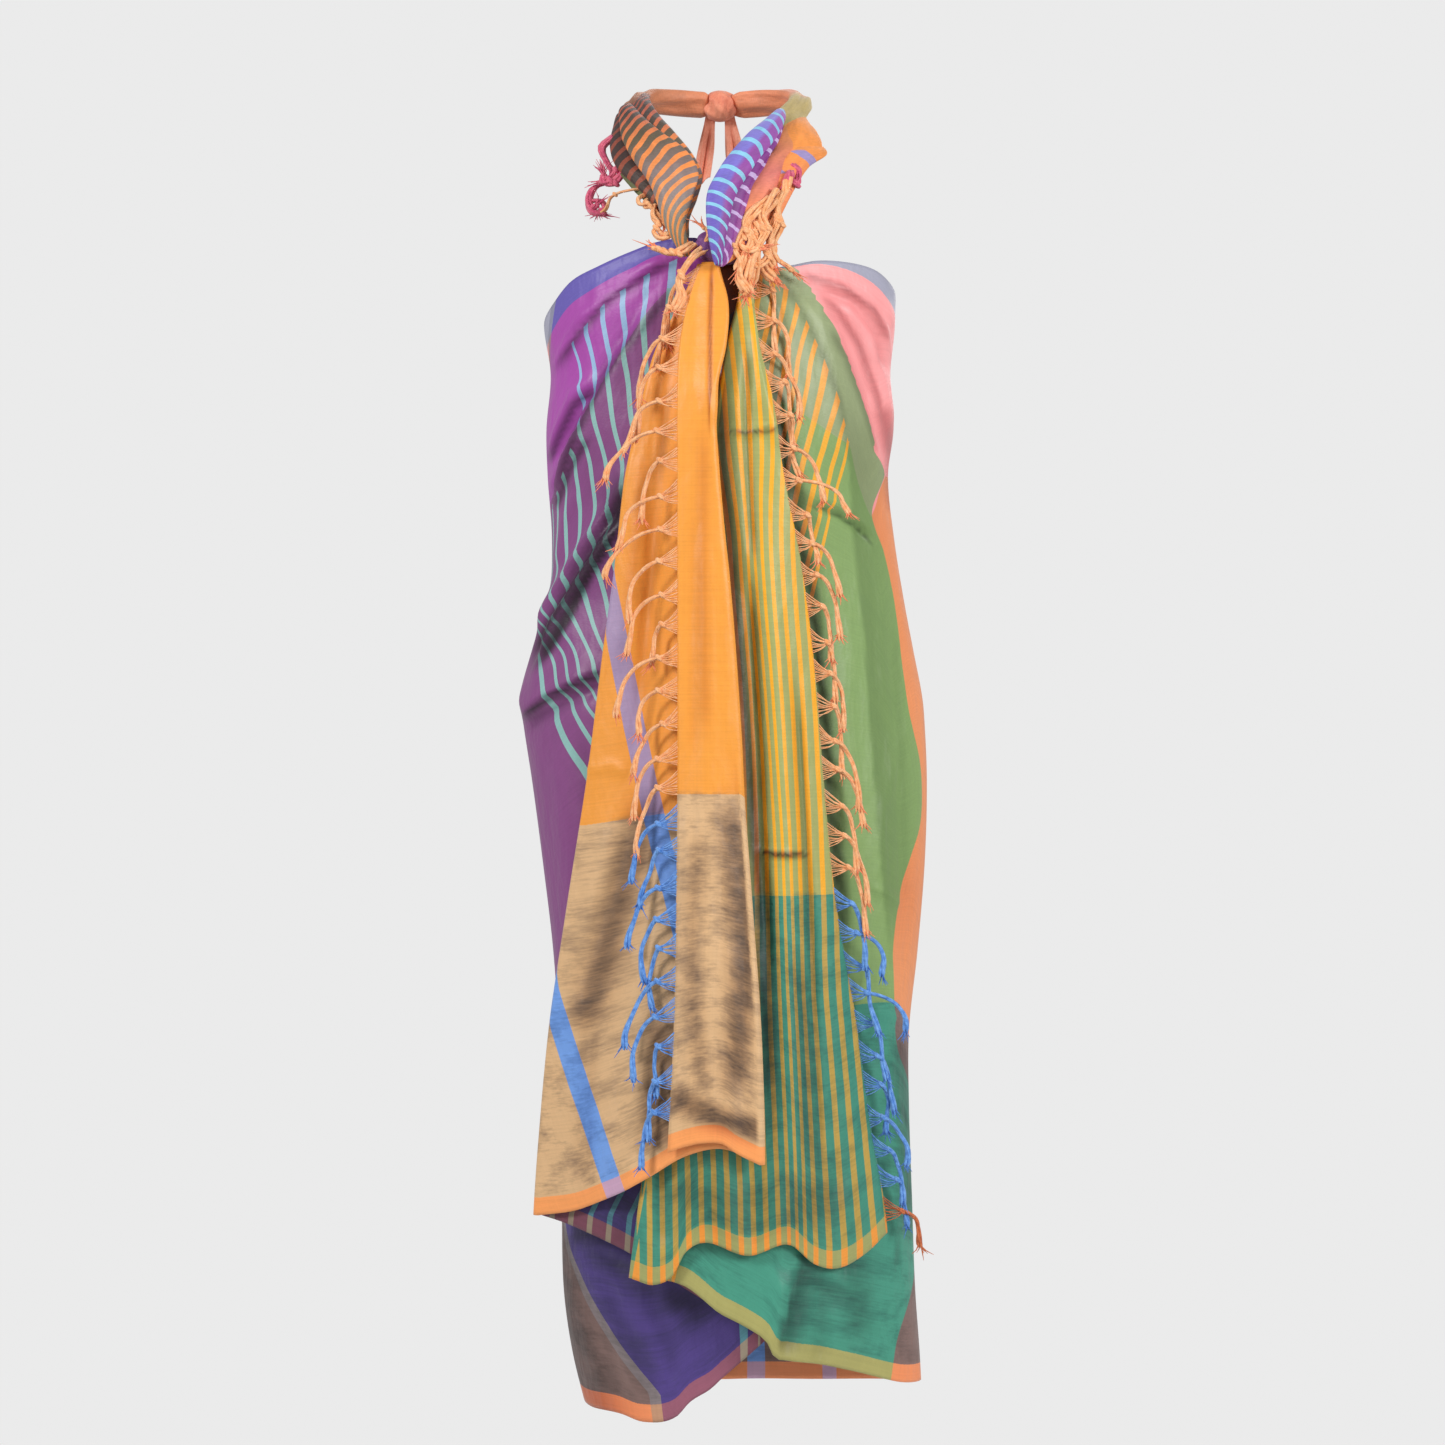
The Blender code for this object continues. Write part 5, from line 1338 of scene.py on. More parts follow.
def add_twist(data, path, yarn, tip, rng, thickness=1.0):
    """Three strands twisted along a path, with a fringe of fine ends at its tip."""
    steps = len(path)
    t = np.linspace(0, 1, steps)
    phase = rng.uniform(0, 6)
    for strand in range(3):
        turn = phase + strand * 2.1 + t * 5.5
        opening = 0.95 + 0.8 * ease((t - 0.6) / 0.4)
        offset = np.stack([np.cos(turn) * opening, np.sin(turn) * opening * 0.7, np.zeros(steps)], axis=1)
        radii = (1.55 - 0.25 * np.sin(t * pi) + 0.35 * ease((t - 0.55) / 0.3)) * thickness
        radii[-1] = 0.5
        add_yarn(data, path + offset * thickness, radii, yarn)
    run = path[-1] - path[-3]
    run = run / np.linalg.norm(run)
    for _ in range(8):
        bend = rng.uniform(-1, 1, 3) * np.array([0.7, 0.25, 0.3])
        s = np.linspace(0, 1, 4)[:, None]
        start = path[-3] + rng.uniform(-1.2, 1.2, 3) * np.array([1, 0.5, 1])
        points = start + (run + bend * s) * s * rng.uniform(9, 15)
        add_yarn(data, points, [0.75, 0.7, 0.5, 0.2], tip)


def add_knot_loops(data, place, yarn, size=1.0):
    """The small tight knot of a tassel: two loops wound across each other."""
    turn = np.linspace(0, 2 * pi, 9)[:-1]
    for tilt in (0.5, -0.7):
        ring = np.stack([np.cos(turn) * 1.7, np.sin(turn) * 1.5, np.cos(turn + tilt) * 1.5], axis=1)
        add_yarn(data, place + ring * size, np.full(8, 1.15 * size), yarn, closed=True)


# %% A row of tassels along an edge
FringeRow = namedtuple("FringeRow", "start pitch root side")
RIGHT_END_ROW = FringeRow(14, 29.0, 23, -1)
LEFT_END_ROW = FringeRow(22, 29.6, 23, 1)
Tail = namedtuple("Tail", "out down")
RIGHT_END_TAILS = [
    Tail(16, 60), Tail(10, 56), Tail(22, 58), Tail(24, 66), Tail(34, 50), Tail(46, 42), Tail(18, 60),
    Tail(44, 50), Tail(50, 46), Tail(32, 58), Tail(36, 54), Tail(10, 34), Tail(42, 58), Tail(22, 38),
    Tail(26, 46), Tail(24, 60), Tail(18, 62), Tail(26, 58), Tail(14, 56), Tail(28, 60), Tail(14, 56),
    Tail(8, 60), Tail(28, 62), Tail(22, 58), Tail(4, 50), Tail(8, 58), Tail(12, 50),
]
LEFT_END_TAILS = [
    Tail(2, 62), Tail(16, 50), Tail(20, 56), Tail(6, 60), Tail(4, 54), Tail(28, 46), Tail(50, 30),
    Tail(6, 48), Tail(26, 50), Tail(22, 58), Tail(8, 54), Tail(8, 60), Tail(14, 56), Tail(8, 62),
    Tail(22, 64), Tail(24, 58), Tail(14, 62), Tail(20, 62), Tail(16, 60), Tail(12, 60), Tail(28, 42),
    Tail(10, 60), Tail(40, 38), Tail(10, 50), Tail(16, 52), Tail(8, 50), Tail(22, 44), Tail(12, 50),
    Tail(10, 44), Tail(20, 36),
]


def edge_line(form, share, inside):
    """The edge of a stretch from top to hem, the way out of it, and its warp measure."""
    down = np.linspace(0, 1, EDGE_ROWS)
    at_edge = form(np.full(EDGE_ROWS, share), down)
    at_inside = form(np.full(EDGE_ROWS, inside), down)
    edge = np.stack(at_edge[:3], axis=1)
    out = edge - np.stack(at_inside[:3], axis=1)
    return edge, out / np.linalg.norm(out, axis=1)[:, None], at_edge[4]


def fringe_row(name, line, row, tails, beneath, seed):
    edge, out, warp = line
    lengths = np.concatenate([[0], np.cumsum(np.linalg.norm(np.diff(edge, axis=0), axis=1))])
    rng = np.random.default_rng(seed)
    data = new_yarns(name)

    def read(place):
        root = np.array([np.interp(place, lengths, edge[:, k]) for k in range(3)])
        away = np.array([np.interp(place, lengths, out[:, k]) for k in range(3)])
        return root, away, np.interp(place, lengths, warp)

    for i, tail in enumerate(tails):
        middle = row.start + row.pitch * i + rng.uniform(-1.5, 1.5)
        if middle > lengths[-1] - 3:
            break
        root, away, warp_here = read(middle)
        yarn, tip = ("peach", "peach_tip") if warp_here < ORANGE_END else ("blue", "blue_tip")
        if warp_here > HEM_BORDER - 0.008:
            yarn, tip = ("rust", "rust") if row.side > 0 else ("peach", "peach_tip")
        knot_out = rng.uniform(13, 18)
        knot = root + np.array([row.side * knot_out, 0, rng.uniform(1, 6)])
        knot[1] = min(root[1] - 0.5, beneath(knot[0], knot[2]) - 3.5)
        for s in np.linspace(-0.5, 0.5, 13):
            foot, _, _ = read(middle + (s + rng.uniform(-0.03, 0.03)) * row.root)
            foot = foot - away * 1.0
            t = np.linspace(0, 1, 5)[:, None]
            sag = np.array([0, -1.6, 2.0]) * np.sin(t * pi) * rng.uniform(-0.2, 1.2)
            pull = mix(foot, knot + np.array([0, 0, s * 2.2]), t ** 0.8) + sag
            add_yarn(data, pull, [0.42, 0.40, 0.42, 0.5, 0.8], yarn)
        add_knot_loops(data, knot, yarn, 1.3)
        length = tail.down * rng.uniform(0.92, 1.08)
        path = hang_path(knot, length, row.side * tail.out, rng.uniform(-6, 6), rng.uniform(0, 6))
        lift = 3.5 + 2.2 * (i % 2)
        for k, point in enumerate(path):
            clear = beneath(point[0], point[2]) - lift
            settled = min(clear, root[1] + 6.0)
            point[1] = mix(knot[1], settled, ease(k / 6))
        add_twist(data, path, yarn, tip, rng)
    return finish_yarns(data)


def before_right_panel(x, drop):
    """What the right end's tassels hang in front of."""
    return float(right_panel_y(x, drop) - fold_lift(PANEL_FOLDS, x, drop))


def before_left_wrap(x, drop):
    """What the left end's tassels hang in front of."""
    return float(left_wrap_y(x, angle_at(x, drop), drop) - fold_lift(LEFT_WRAP_FOLDS, x, drop))


right_end_fringe = fringe_row(
    "right_end_tassels", edge_line(right_end_form, 0.0, 0.03), RIGHT_END_ROW, RIGHT_END_TAILS,
    before_right_panel, 3
)
left_end_fringe = fringe_row(
    "left_end_tassels", edge_line(left_end_form, 1.0, 0.97), LEFT_END_ROW, LEFT_END_TAILS,
    before_left_wrap, 8
)
print("tassels:", len(right_end_fringe.data.polygons), len(left_end_fringe.data.polygons), "faces")

# %% The tassels at the neck
Strand = namedtuple("Strand", "yarn tip thickness echoes path")
RIGHT_NECK_STRANDS = [
    Strand("pink", "pink", 1.3, 1, [
        (-99, -124, 50), (-110, -124, 60), (-105, -128, 74), (-99, -132, 84), (-103, -136, 94),
        (-114, -140, 99), (-120, -142, 110), (-118, -144, 121), (-110, -144, 124),
    ]),
    Strand("pink", "pink", 1.2, 1, [
        (-88, -150, 76), (-90, -152, 90), (-96, -152, 98), (-103, -150, 98), (-106, -148, 90),
    ]),
    Strand("pink", "pink", 1.1, 0, [
        (-96, -142, 66), (-94, -148, 80), (-99, -150, 90), (-108, -148, 94),
    ]),
    Strand("pink", "pink", 1.3, 0, [
        (-118, -142, 112), (-109, -144, 113), (-106, -145, 120), (-112, -145, 125),
        (-118, -144, 121), (-113, -146, 116),
    ]),
    Strand("peach", "pink", 0.8, 0, [
        (-72, -176, 106), (-80, -178, 107), (-92, -172, 109), (-100, -160, 112), (-104, -150, 120),
        (-110, -146, 124),
    ]),
    Strand("peach", "peach_tip", 1.1, 1, [
        (-68, -182, 112), (-74, -186, 116), (-72, -190, 122), (-64, -192, 122), (-58, -193, 128),
        (-54, -194, 136), (-50, -196, 142),
    ]),
    Strand("peach", "peach_tip", 1.1, 1, [
        (-60, -192, 126), (-60, -196, 136), (-56, -198, 142), (-60, -198, 148), (-54, -198, 154),
        (-46, -198, 152),
    ]),
    Strand("peach", "peach_tip", 1.3, 1, [
        (-22, -205, 160), (-32, -208, 167), (-44, -207, 169), (-56, -206, 164),
    ]),
    Strand("peach", "peach_tip", 1.2, 1, [
        (-14, -208, 162), (-24, -211, 170), (-32, -212, 182), (-38, -213, 194), (-36, -214, 206),
        (-42, -214, 218),
    ]),
    Strand("peach", "peach_tip", 1.0, 0, [(-12, -210, 158), (-10, -213, 150), (-14, -213, 146)]),
]
LEFT_NECK_STRANDS = [
    Strand("pink", "pink", 1.4, 1, [
        (66, -176, 84), (72, -178, 90), (70, -182, 100), (63, -184, 100), (64, -186, 92),
        (60, -188, 104),
    ]),
    Strand("peach", "peach_tip", 1.3, 2, [
        (60, -190, 100), (58, -196, 112), (52, -200, 126), (53, -203, 140), (46, -205, 154),
        (44, -206, 168), (48, -206, 180),
    ]),
    Strand("peach", "peach_tip", 1.3, 2, [
        (52, -198, 110), (44, -203, 122), (36, -206, 134), (40, -209, 148), (34, -211, 162),
        (30, -212, 176), (24, -213, 196),
    ]),
    Strand("peach", "peach_tip", 1.3, 2, [
        (46, -200, 118), (34, -206, 130), (26, -209, 144), (30, -212, 158), (22, -213, 172),
        (18, -214, 186),
    ]),
    Strand("peach", "peach_tip", 1.2, 2, [
        (40, -203, 128), (28, -208, 136), (18, -211, 150), (14, -213, 166), (20, -214, 178),
        (18, -215, 192), (26, -215, 206),
    ]),
    Strand("peach", "peach_tip", 1.2, 2, [
        (54, -194, 118), (50, -199, 134), (44, -202, 148), (48, -204, 164), (42, -205, 178),
        (50, -205, 190),
    ]),
    Strand("peach", "peach_tip", 1.2, 1, [
        (32, -207, 140), (38, -209, 152), (28, -211, 166), (24, -212, 182), (28, -213, 198),
        (22, -213, 208),
    ]),
    Strand("peach", "peach_tip", 1.0, 1, [
        (46, -198, 140), (36, -206, 146), (26, -210, 152), (18, -213, 160), (26, -215, 168),
        (36, -214, 166),
    ]),
    Strand("peach", "peach_tip", 1.0, 1, [
        (24, -211, 150), (34, -213, 160), (42, -209, 170), (34, -211, 178), (26, -214, 172),
    ]),
    Strand("peach", "peach_tip", 1.0, 0, [
        (44, -203, 166), (52, -203, 174), (60, -200, 178), (66, -196, 184),
    ]),
]


def neck_tassels(name, strands, seed):
    """Loose twists along drawn paths, with a knot at the middle of each, and echoes beside them."""
    rng = np.random.default_rng(seed)
    data = new_yarns(name)
    for strand in strands:
        points = np.array(strand.path, float)
        places = np.linspace(0, 1, len(points))
        t = np.linspace(0, 1, 26)
        path = np.stack([smooth_read(places, points[:, k], t) for k in range(3)], axis=1)
        for echo in range(1 + strand.echoes):
            aside = rng.uniform(-4.5, 4.5, 3) * np.array([1, 0.5, 1]) * min(echo, 1)
            wave = np.sin(t * 7 + rng.uniform(0, 6))[:, None] * np.array([2.2, 0.8, 0]) * min(echo, 1)
            beside = path + aside + wave
            add_twist(data, beside, strand.yarn, strand.tip, rng, strand.thickness)
            add_knot_loops(data, beside[12], strand.yarn, 1.2 * strand.thickness)
    return finish_yarns(data)


right_neck_fringe = neck_tassels("right_neck_tassels", RIGHT_NECK_STRANDS, 5)
left_neck_fringe = neck_tassels("left_neck_tassels", LEFT_NECK_STRANDS, 6)

# %% [markdown]
# ## The colours of the weave
#
# The cloth is shot silk: its colour changes with the warp, in bands along the cloth, and with
# the weft, in bands across it. The table gives the colour of every weft yarn where it
# crosses each band of the warp.

# %% Colours of each weft over each band of the warp
# The last colour of each weft, shade, is its painted shade colour, which the clouds and the painted creases mix in.
Weft = namedtuple("Weft", "top_border pink orange blue hem_border shade")
WEFTS = {
    "orange": Weft("#B9A066", "#F0805A", "#F29D39", "#DCB384", "#F89F5A", "#6E5648"),
    "blue": Weft("#8F8FE0", "#A58AD8", "#A890B4", "#729FE4", "#CBA2BE", "#3C62A0"),
    "purple": Weft("#6559AD", "#A847A6", "#864781", "#4C3A80", "#94566A", "#2C2650"),
    "light_blue": Weft("#7CC4E8", "#97B9DC", "#8EBDB8", "#5E9AA8", "#B0A08A", "#3C6470"),
    "grey": Weft("#8A8AA0", "#9A7A80", "#A08A7A", "#84787A", "#C09070", "#5A5450"),
    "coral": Weft("#A3A3B5", "#FCA4A4", "#EC955F", "#7E645E", "#EE8E5A", "#4A3A36"),
    "green": Weft("#8F98A0", "#98A478", "#86A463", "#42937C", "#A8A260", "#1F5A50"),
    "yellow": Weft("#C0A060", "#F0A840", "#F2AE2E", "#B39C4C", "#E89A38", "#7A6C38"),
    "reverse_green": Weft("#8F98A0", "#A8AC70", "#A3A864", "#3F8C76", "#9FA062", "#1C5450"),
    "reverse_yellow": Weft("#C0A060", "#F2AE38", "#F4AC22", "#BE9C48", "#EC9636", "#6A6A3C"),
}


def photo_colour(code):
    """A colour as a picture shows it, turned into the linear values that shading works in."""
    shown = [int(code[i:i + 2], 16) / 255 for i in (1, 3, 5)]
    return [c / 12.92 if c <= 0.04045 else ((c + 0.055) / 1.055) ** 2.4 for c in shown] + [1.0]


# %% Node helpers
class Nodes:
    """Adds and joins the nodes of one material."""

    def __init__(self, name):
        self.material = bpy.data.materials.get(name) or bpy.data.materials.new(name)
        self.material.use_nodes = True
        self.tree = self.material.node_tree
        self.shader = self.tree.nodes["Principled BSDF"]

    def add(self, kind, **settings):
        node = self.tree.nodes.new(kind)
        for key, value in settings.items():
            setattr(node, key, value)
        return node

    def join(self, source, target):
        self.tree.links.new(source, target)

    def feed(self, socket, value):
        if isinstance(value, (int, float)):
            socket.default_value = value
        elif isinstance(value, (list, tuple)):
            socket.default_value = value
        else:
            self.join(value, socket)

    def math(self, operation, first, second=0.0, clamp=False):
        node = self.add("ShaderNodeMath", operation=operation, use_clamp=clamp)
        self.feed(node.inputs[0], first)
        self.feed(node.inputs[1], second)
        return node.outputs[0]

    def mix(self, share, first, second, blend="MIX"):
        node = self.add("ShaderNodeMix", data_type="RGBA", blend_type=blend)
        self.feed(node.inputs["Factor"], share)
        self.feed(node.inputs[6], first)
        self.feed(node.inputs[7], second)
        return node.outputs[2]

    def noise(self, vector, scale, detail=2.0, roughness=0.5):
        node = self.add("ShaderNodeTexNoise")
        node.inputs["Scale"].default_value = scale
        node.inputs["Detail"].default_value = detail
        node.inputs["Roughness"].default_value = roughness
        self.feed(node.inputs["Vector"], vector)
        return node.outputs["Fac"]

    def vector(self, x, y, z=0.0):
        node = self.add("ShaderNodeCombineXYZ")
        for socket, value in zip(node.inputs, (x, y, z)):
            self.feed(socket, value)
        return node.outputs[0]

    def contrast(self, value, low, high):
        node = self.add("ShaderNodeMapRange")
        self.feed(node.inputs["Value"], value)
        node.inputs["From Min"].default_value = low
        node.inputs["From Max"].default_value = high
        return node.outputs["Result"]


def object_noise(nodes, scale, detail=3.0, stretch=(1, 1, 1)):
    """Noise on the piece's own coordinates."""
    place = nodes.add("ShaderNodeTexCoord")
    mapping = nodes.add("ShaderNodeMapping")
    mapping.inputs["Scale"].default_value = stretch
    nodes.join(place.outputs["Object"], mapping.inputs["Vector"])
    return nodes.noise(mapping.outputs["Vector"], scale, detail)


# %% Weave shot silk
Band = namedtuple("Band", "weft start end pitch width")
CLOUD_DEPTH = 0.78
DEEP_SHADE = (0.08, 0.05, 0.07, 1.0)
WARP_CHANGES = (0.0, TOP_BORDER, PINK_END, ORANGE_END, HEM_BORDER)


def warp_ramp(nodes, warp, colours):
    """A ramp across the cloth that changes at each band of the warp."""
    ramp = nodes.add("ShaderNodeValToRGB")
    ramp.color_ramp.interpolation = "CONSTANT"
    stops = ramp.color_ramp.elements
    while len(stops) < len(colours):
        stops.new(1.0)
    for stop, place, colour in zip(stops, WARP_CHANGES, colours):
        stop.position = place / CLOTH_WIDTH
        stop.color = photo_colour(colour)
    nodes.join(nodes.math("DIVIDE", warp, CLOTH_WIDTH), ramp.inputs["Fac"])
    return ramp.outputs["Color"]


def in_blue_band(nodes, warp):
    """1 where the warp is blue, and 0 elsewhere."""
    below = nodes.contrast(warp, ORANGE_END - 0.002, ORANGE_END + 0.002)
    return nodes.math("MULTIPLY", below, nodes.contrast(warp, HEM_BORDER + 0.001, HEM_BORDER - 0.001))


def cloud_share(nodes, weft, warp):
    """How much of the second colour shows: in flecks over the blue warp, and most in shade."""
    # Partly painted shade: the clouds stand for the darker cast that shot silk shows where it turns from the light.
    # They are laid at random over the blue warp, together with the weave's own flecked mottle.
    cloud = nodes.noise(
        nodes.vector(nodes.math("MULTIPLY", weft, 36.0), nodes.math("MULTIPLY", warp, 46.0)), 1.0, 5.0, 0.6
    )
    flecks = nodes.noise(
        nodes.vector(nodes.math("MULTIPLY", weft, 90.0), nodes.math("MULTIPLY", warp, 420.0)), 1.0, 3.0, 0.6
    )
    mottle = nodes.math("ADD", cloud, nodes.math("MULTIPLY", nodes.math("SUBTRACT", flecks, 0.5), 0.5))
    # More of the clouds show where painted shade lies.
    shaded = nodes.add("ShaderNodeAttribute", attribute_name="shaded").outputs["Fac"]
    mottle = nodes.math("ADD", mottle, nodes.math("MULTIPLY", shaded, 0.24))
    amount = nodes.math("ADD", nodes.math("MULTIPLY", in_blue_band(nodes, warp), CLOUD_DEPTH), 0.06)
    return nodes.math("MULTIPLY", nodes.contrast(mottle, 0.46, 0.86), amount, clamp=True)


def shot_silk(name, ground, bands, stripeless=True):
    """Shot silk with a ground weft and bands of others: solid, or striped where a pitch is given."""
    nodes = Nodes(name)
    uv = nodes.add("ShaderNodeUVMap", uv_map="weave")
    split = nodes.add("ShaderNodeSeparateXYZ")
    nodes.join(uv.outputs["UV"], split.inputs[0])
    weft, warp = split.outputs["X"], split.outputs["Y"]
    wander = nodes.noise(nodes.vector(nodes.math("MULTIPLY", weft, 6.0), nodes.math("MULTIPLY", warp, 14.0)), 1.0)
    weft_at = nodes.math("ADD", weft, nodes.math("MULTIPLY", nodes.math("SUBTRACT", wander, 0.5), 0.0022))
    fray = nodes.noise(nodes.vector(nodes.math("MULTIPLY", weft, 900.0), nodes.math("MULTIPLY", warp, 40.0)), 1.0)
    warp_at = nodes.math("ADD", warp, nodes.math("MULTIPLY", nodes.math("SUBTRACT", fray, 0.5), 0.0016))
    colours = {b.weft for b in bands} | {ground}
    clouded = cloud_share(nodes, weft, warp)
    face = {
        c: nodes.mix(clouded, warp_ramp(nodes, warp_at, WEFTS[c][:5]), photo_colour(WEFTS[c].shade))
        for c in colours
    }
    colour = face[ground]
    for band in bands:
        inside = nodes.math(
            "MULTIPLY", nodes.math("GREATER_THAN", weft_at, band.start), nodes.math("LESS_THAN", weft_at, band.end)
        )
        if band.pitch:
            count = nodes.math("DIVIDE", nodes.math("SUBTRACT", weft_at, band.start), band.pitch)
            on = nodes.math("LESS_THAN", nodes.math("FRACT", count), band.width / band.pitch)
            inside = nodes.math("MULTIPLY", inside, on)
            if stripeless:
                bare = nodes.add("ShaderNodeAttribute", attribute_name="stripeless")
                inside = nodes.math("MULTIPLY", inside, nodes.math("LESS_THAN", bare.outputs["Fac"], 0.5))
        colour = nodes.mix(inside, colour, face[band.weft])
    slub = nodes.noise(nodes.vector(nodes.math("MULTIPLY", weft, 420.0), nodes.math("MULTIPLY", warp, 7.0)), 1.0, 3.0)
    thread = nodes.noise(nodes.vector(nodes.math("MULTIPLY", weft, 14.0), nodes.math("MULTIPLY", warp, 560.0)), 1.0, 3.0)
    streak = nodes.math("ADD", nodes.math("MULTIPLY", slub, 0.45), thread)
    tone_range = nodes.add("ShaderNodeMapRange")
    nodes.join(streak, tone_range.inputs["Value"])
    tone_range.inputs["From Min"].default_value = 0.45
    tone_range.inputs["From Max"].default_value = 1.0
    tone_range.inputs["To Min"].default_value = 0.93
    tone_range.inputs["To Max"].default_value = 1.06
    grey = nodes.add("ShaderNodeCombineColor")
    for socket in grey.inputs[:3]:
        nodes.join(tone_range.outputs["Result"], socket)
    colour = nodes.mix(1.0, colour, grey.outputs["Color"], "MULTIPLY")
    # Painted shade: where the shaded attribute is high, the colour is first deepened by multiplying it by itself, as
    # light bouncing inside a fold would do. It is then darkened towards DEEP_SHADE, less so over the blue warp.
    shaded = nodes.add("ShaderNodeAttribute", attribute_name="shaded").outputs["Fac"]
    reach = nodes.math("SUBTRACT", 0.92, nodes.math("MULTIPLY", in_blue_band(nodes, warp), 0.30))
    saturated_shade = nodes.mix(1.0, colour, colour, "MULTIPLY")
    colour = nodes.mix(nodes.math("MULTIPLY", shaded, nodes.math("MULTIPLY", reach, 0.75)), colour, saturated_shade)
    darkness = nodes.math("MULTIPLY", nodes.math("POWER", shaded, 1.5), reach)
    colour = nodes.mix(darkness, colour, DEEP_SHADE, "MULTIPLY")
    nodes.join(colour, nodes.shader.inputs["Base Color"])
    crumple = object_noise(nodes, 1.0, 3.0, (30, 30, 13))
    threads = object_noise(nodes, 1.0, 2.0, (420, 420, 700))
    relief = nodes.math("ADD", crumple, nodes.math("MULTIPLY", threads, 0.035))
    bump = nodes.add("ShaderNodeBump")
    bump.inputs["Strength"].default_value = 0.7
    bump.inputs["Distance"].default_value = 0.007
    nodes.join(relief, bump.inputs["Height"])
    nodes.join(bump.outputs["Normal"], nodes.shader.inputs["Normal"])
    nodes.shader.inputs["Roughness"].default_value = 0.46
    nodes.shader.inputs["Specular IOR Level"].default_value = 0.45
    nodes.shader.inputs["Sheen Weight"].default_value = 0.10
    nodes.shader.inputs["Sheen Roughness"].default_value = 0.45
    return nodes.material


wound_silk = shot_silk("wound_silk", "coral", [
    Band("purple", 0.0, PURPLE_END, 0, 0),
    Band("light_blue", PURPLE_BAND[0], PURPLE_BAND[1], RIGHT_STRIPE_PITCH, 0.0046),
    Band("grey", PURPLE_END, GREY_END, 0, 0),
    Band("blue", 1.082, 1.100, 0, 0),
    Band("blue", 1.172, 1.190, 0, 0),
    Band("green", CORAL_END, 3.0, 0, 0),
    Band("yellow", PLAIN_GREEN_END, 3.0, LEFT_STRIPE_PITCH, 0.0046),
])
orange_silk = shot_silk("orange_silk", "orange", [
    Band("blue", 0.170, 0.190, 0, 0),
    Band("blue", 0.254, 0.274, 0, 0),
    Band("purple", 0.362, 3.0, 0, 0),
    Band("light_blue", 0.370, 0.47, RIGHT_STRIPE_PITCH, 0.005),
])
striped_silk = shot_silk("striped_silk", "reverse_green", [
    Band("reverse_yellow", 0.0, 3.0, LEFT_STRIPE_PITCH, 0.0052),
])
wound_cloth.data.materials.append(wound_silk)
right_end.data.materials.append(orange_silk)
left_end.data.materials.append(striped_silk)
for piece, nodes_replaced, slot in [
    (wound_cloth, ("right_wrap", "back_wrap", "left_wrap"), "coral_cloth"),
    (right_end, ("right_end",), "orange_cloth"),
    (left_end, ("left_end",), "striped_cloth"),
]:
    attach(piece, "root")
    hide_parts(*nodes_replaced)
print("materials:", len(bpy.data.materials))

# %% [markdown]
# ## The silk of the rolls
#
# In the rolls the stripes cross the pleats. The material reads the pleat's own measures: how
# far along the roll a point is, and how far across it.

# %% Weave the rolls' silk
def ramp(nodes, value, stops, interpolation="LINEAR"):
    """A ramp through colours given as (place, colour)."""
    node = nodes.add("ShaderNodeValToRGB")
    node.color_ramp.interpolation = interpolation
    elements = node.color_ramp.elements
    while len(elements) < len(stops):
        elements.new(1.0)
    for element, (place, colour) in zip(elements, stops):
        element.position = place
        element.color = photo_colour(colour)
    nodes.join(value, node.inputs["Fac"])
    return node.outputs["Color"]


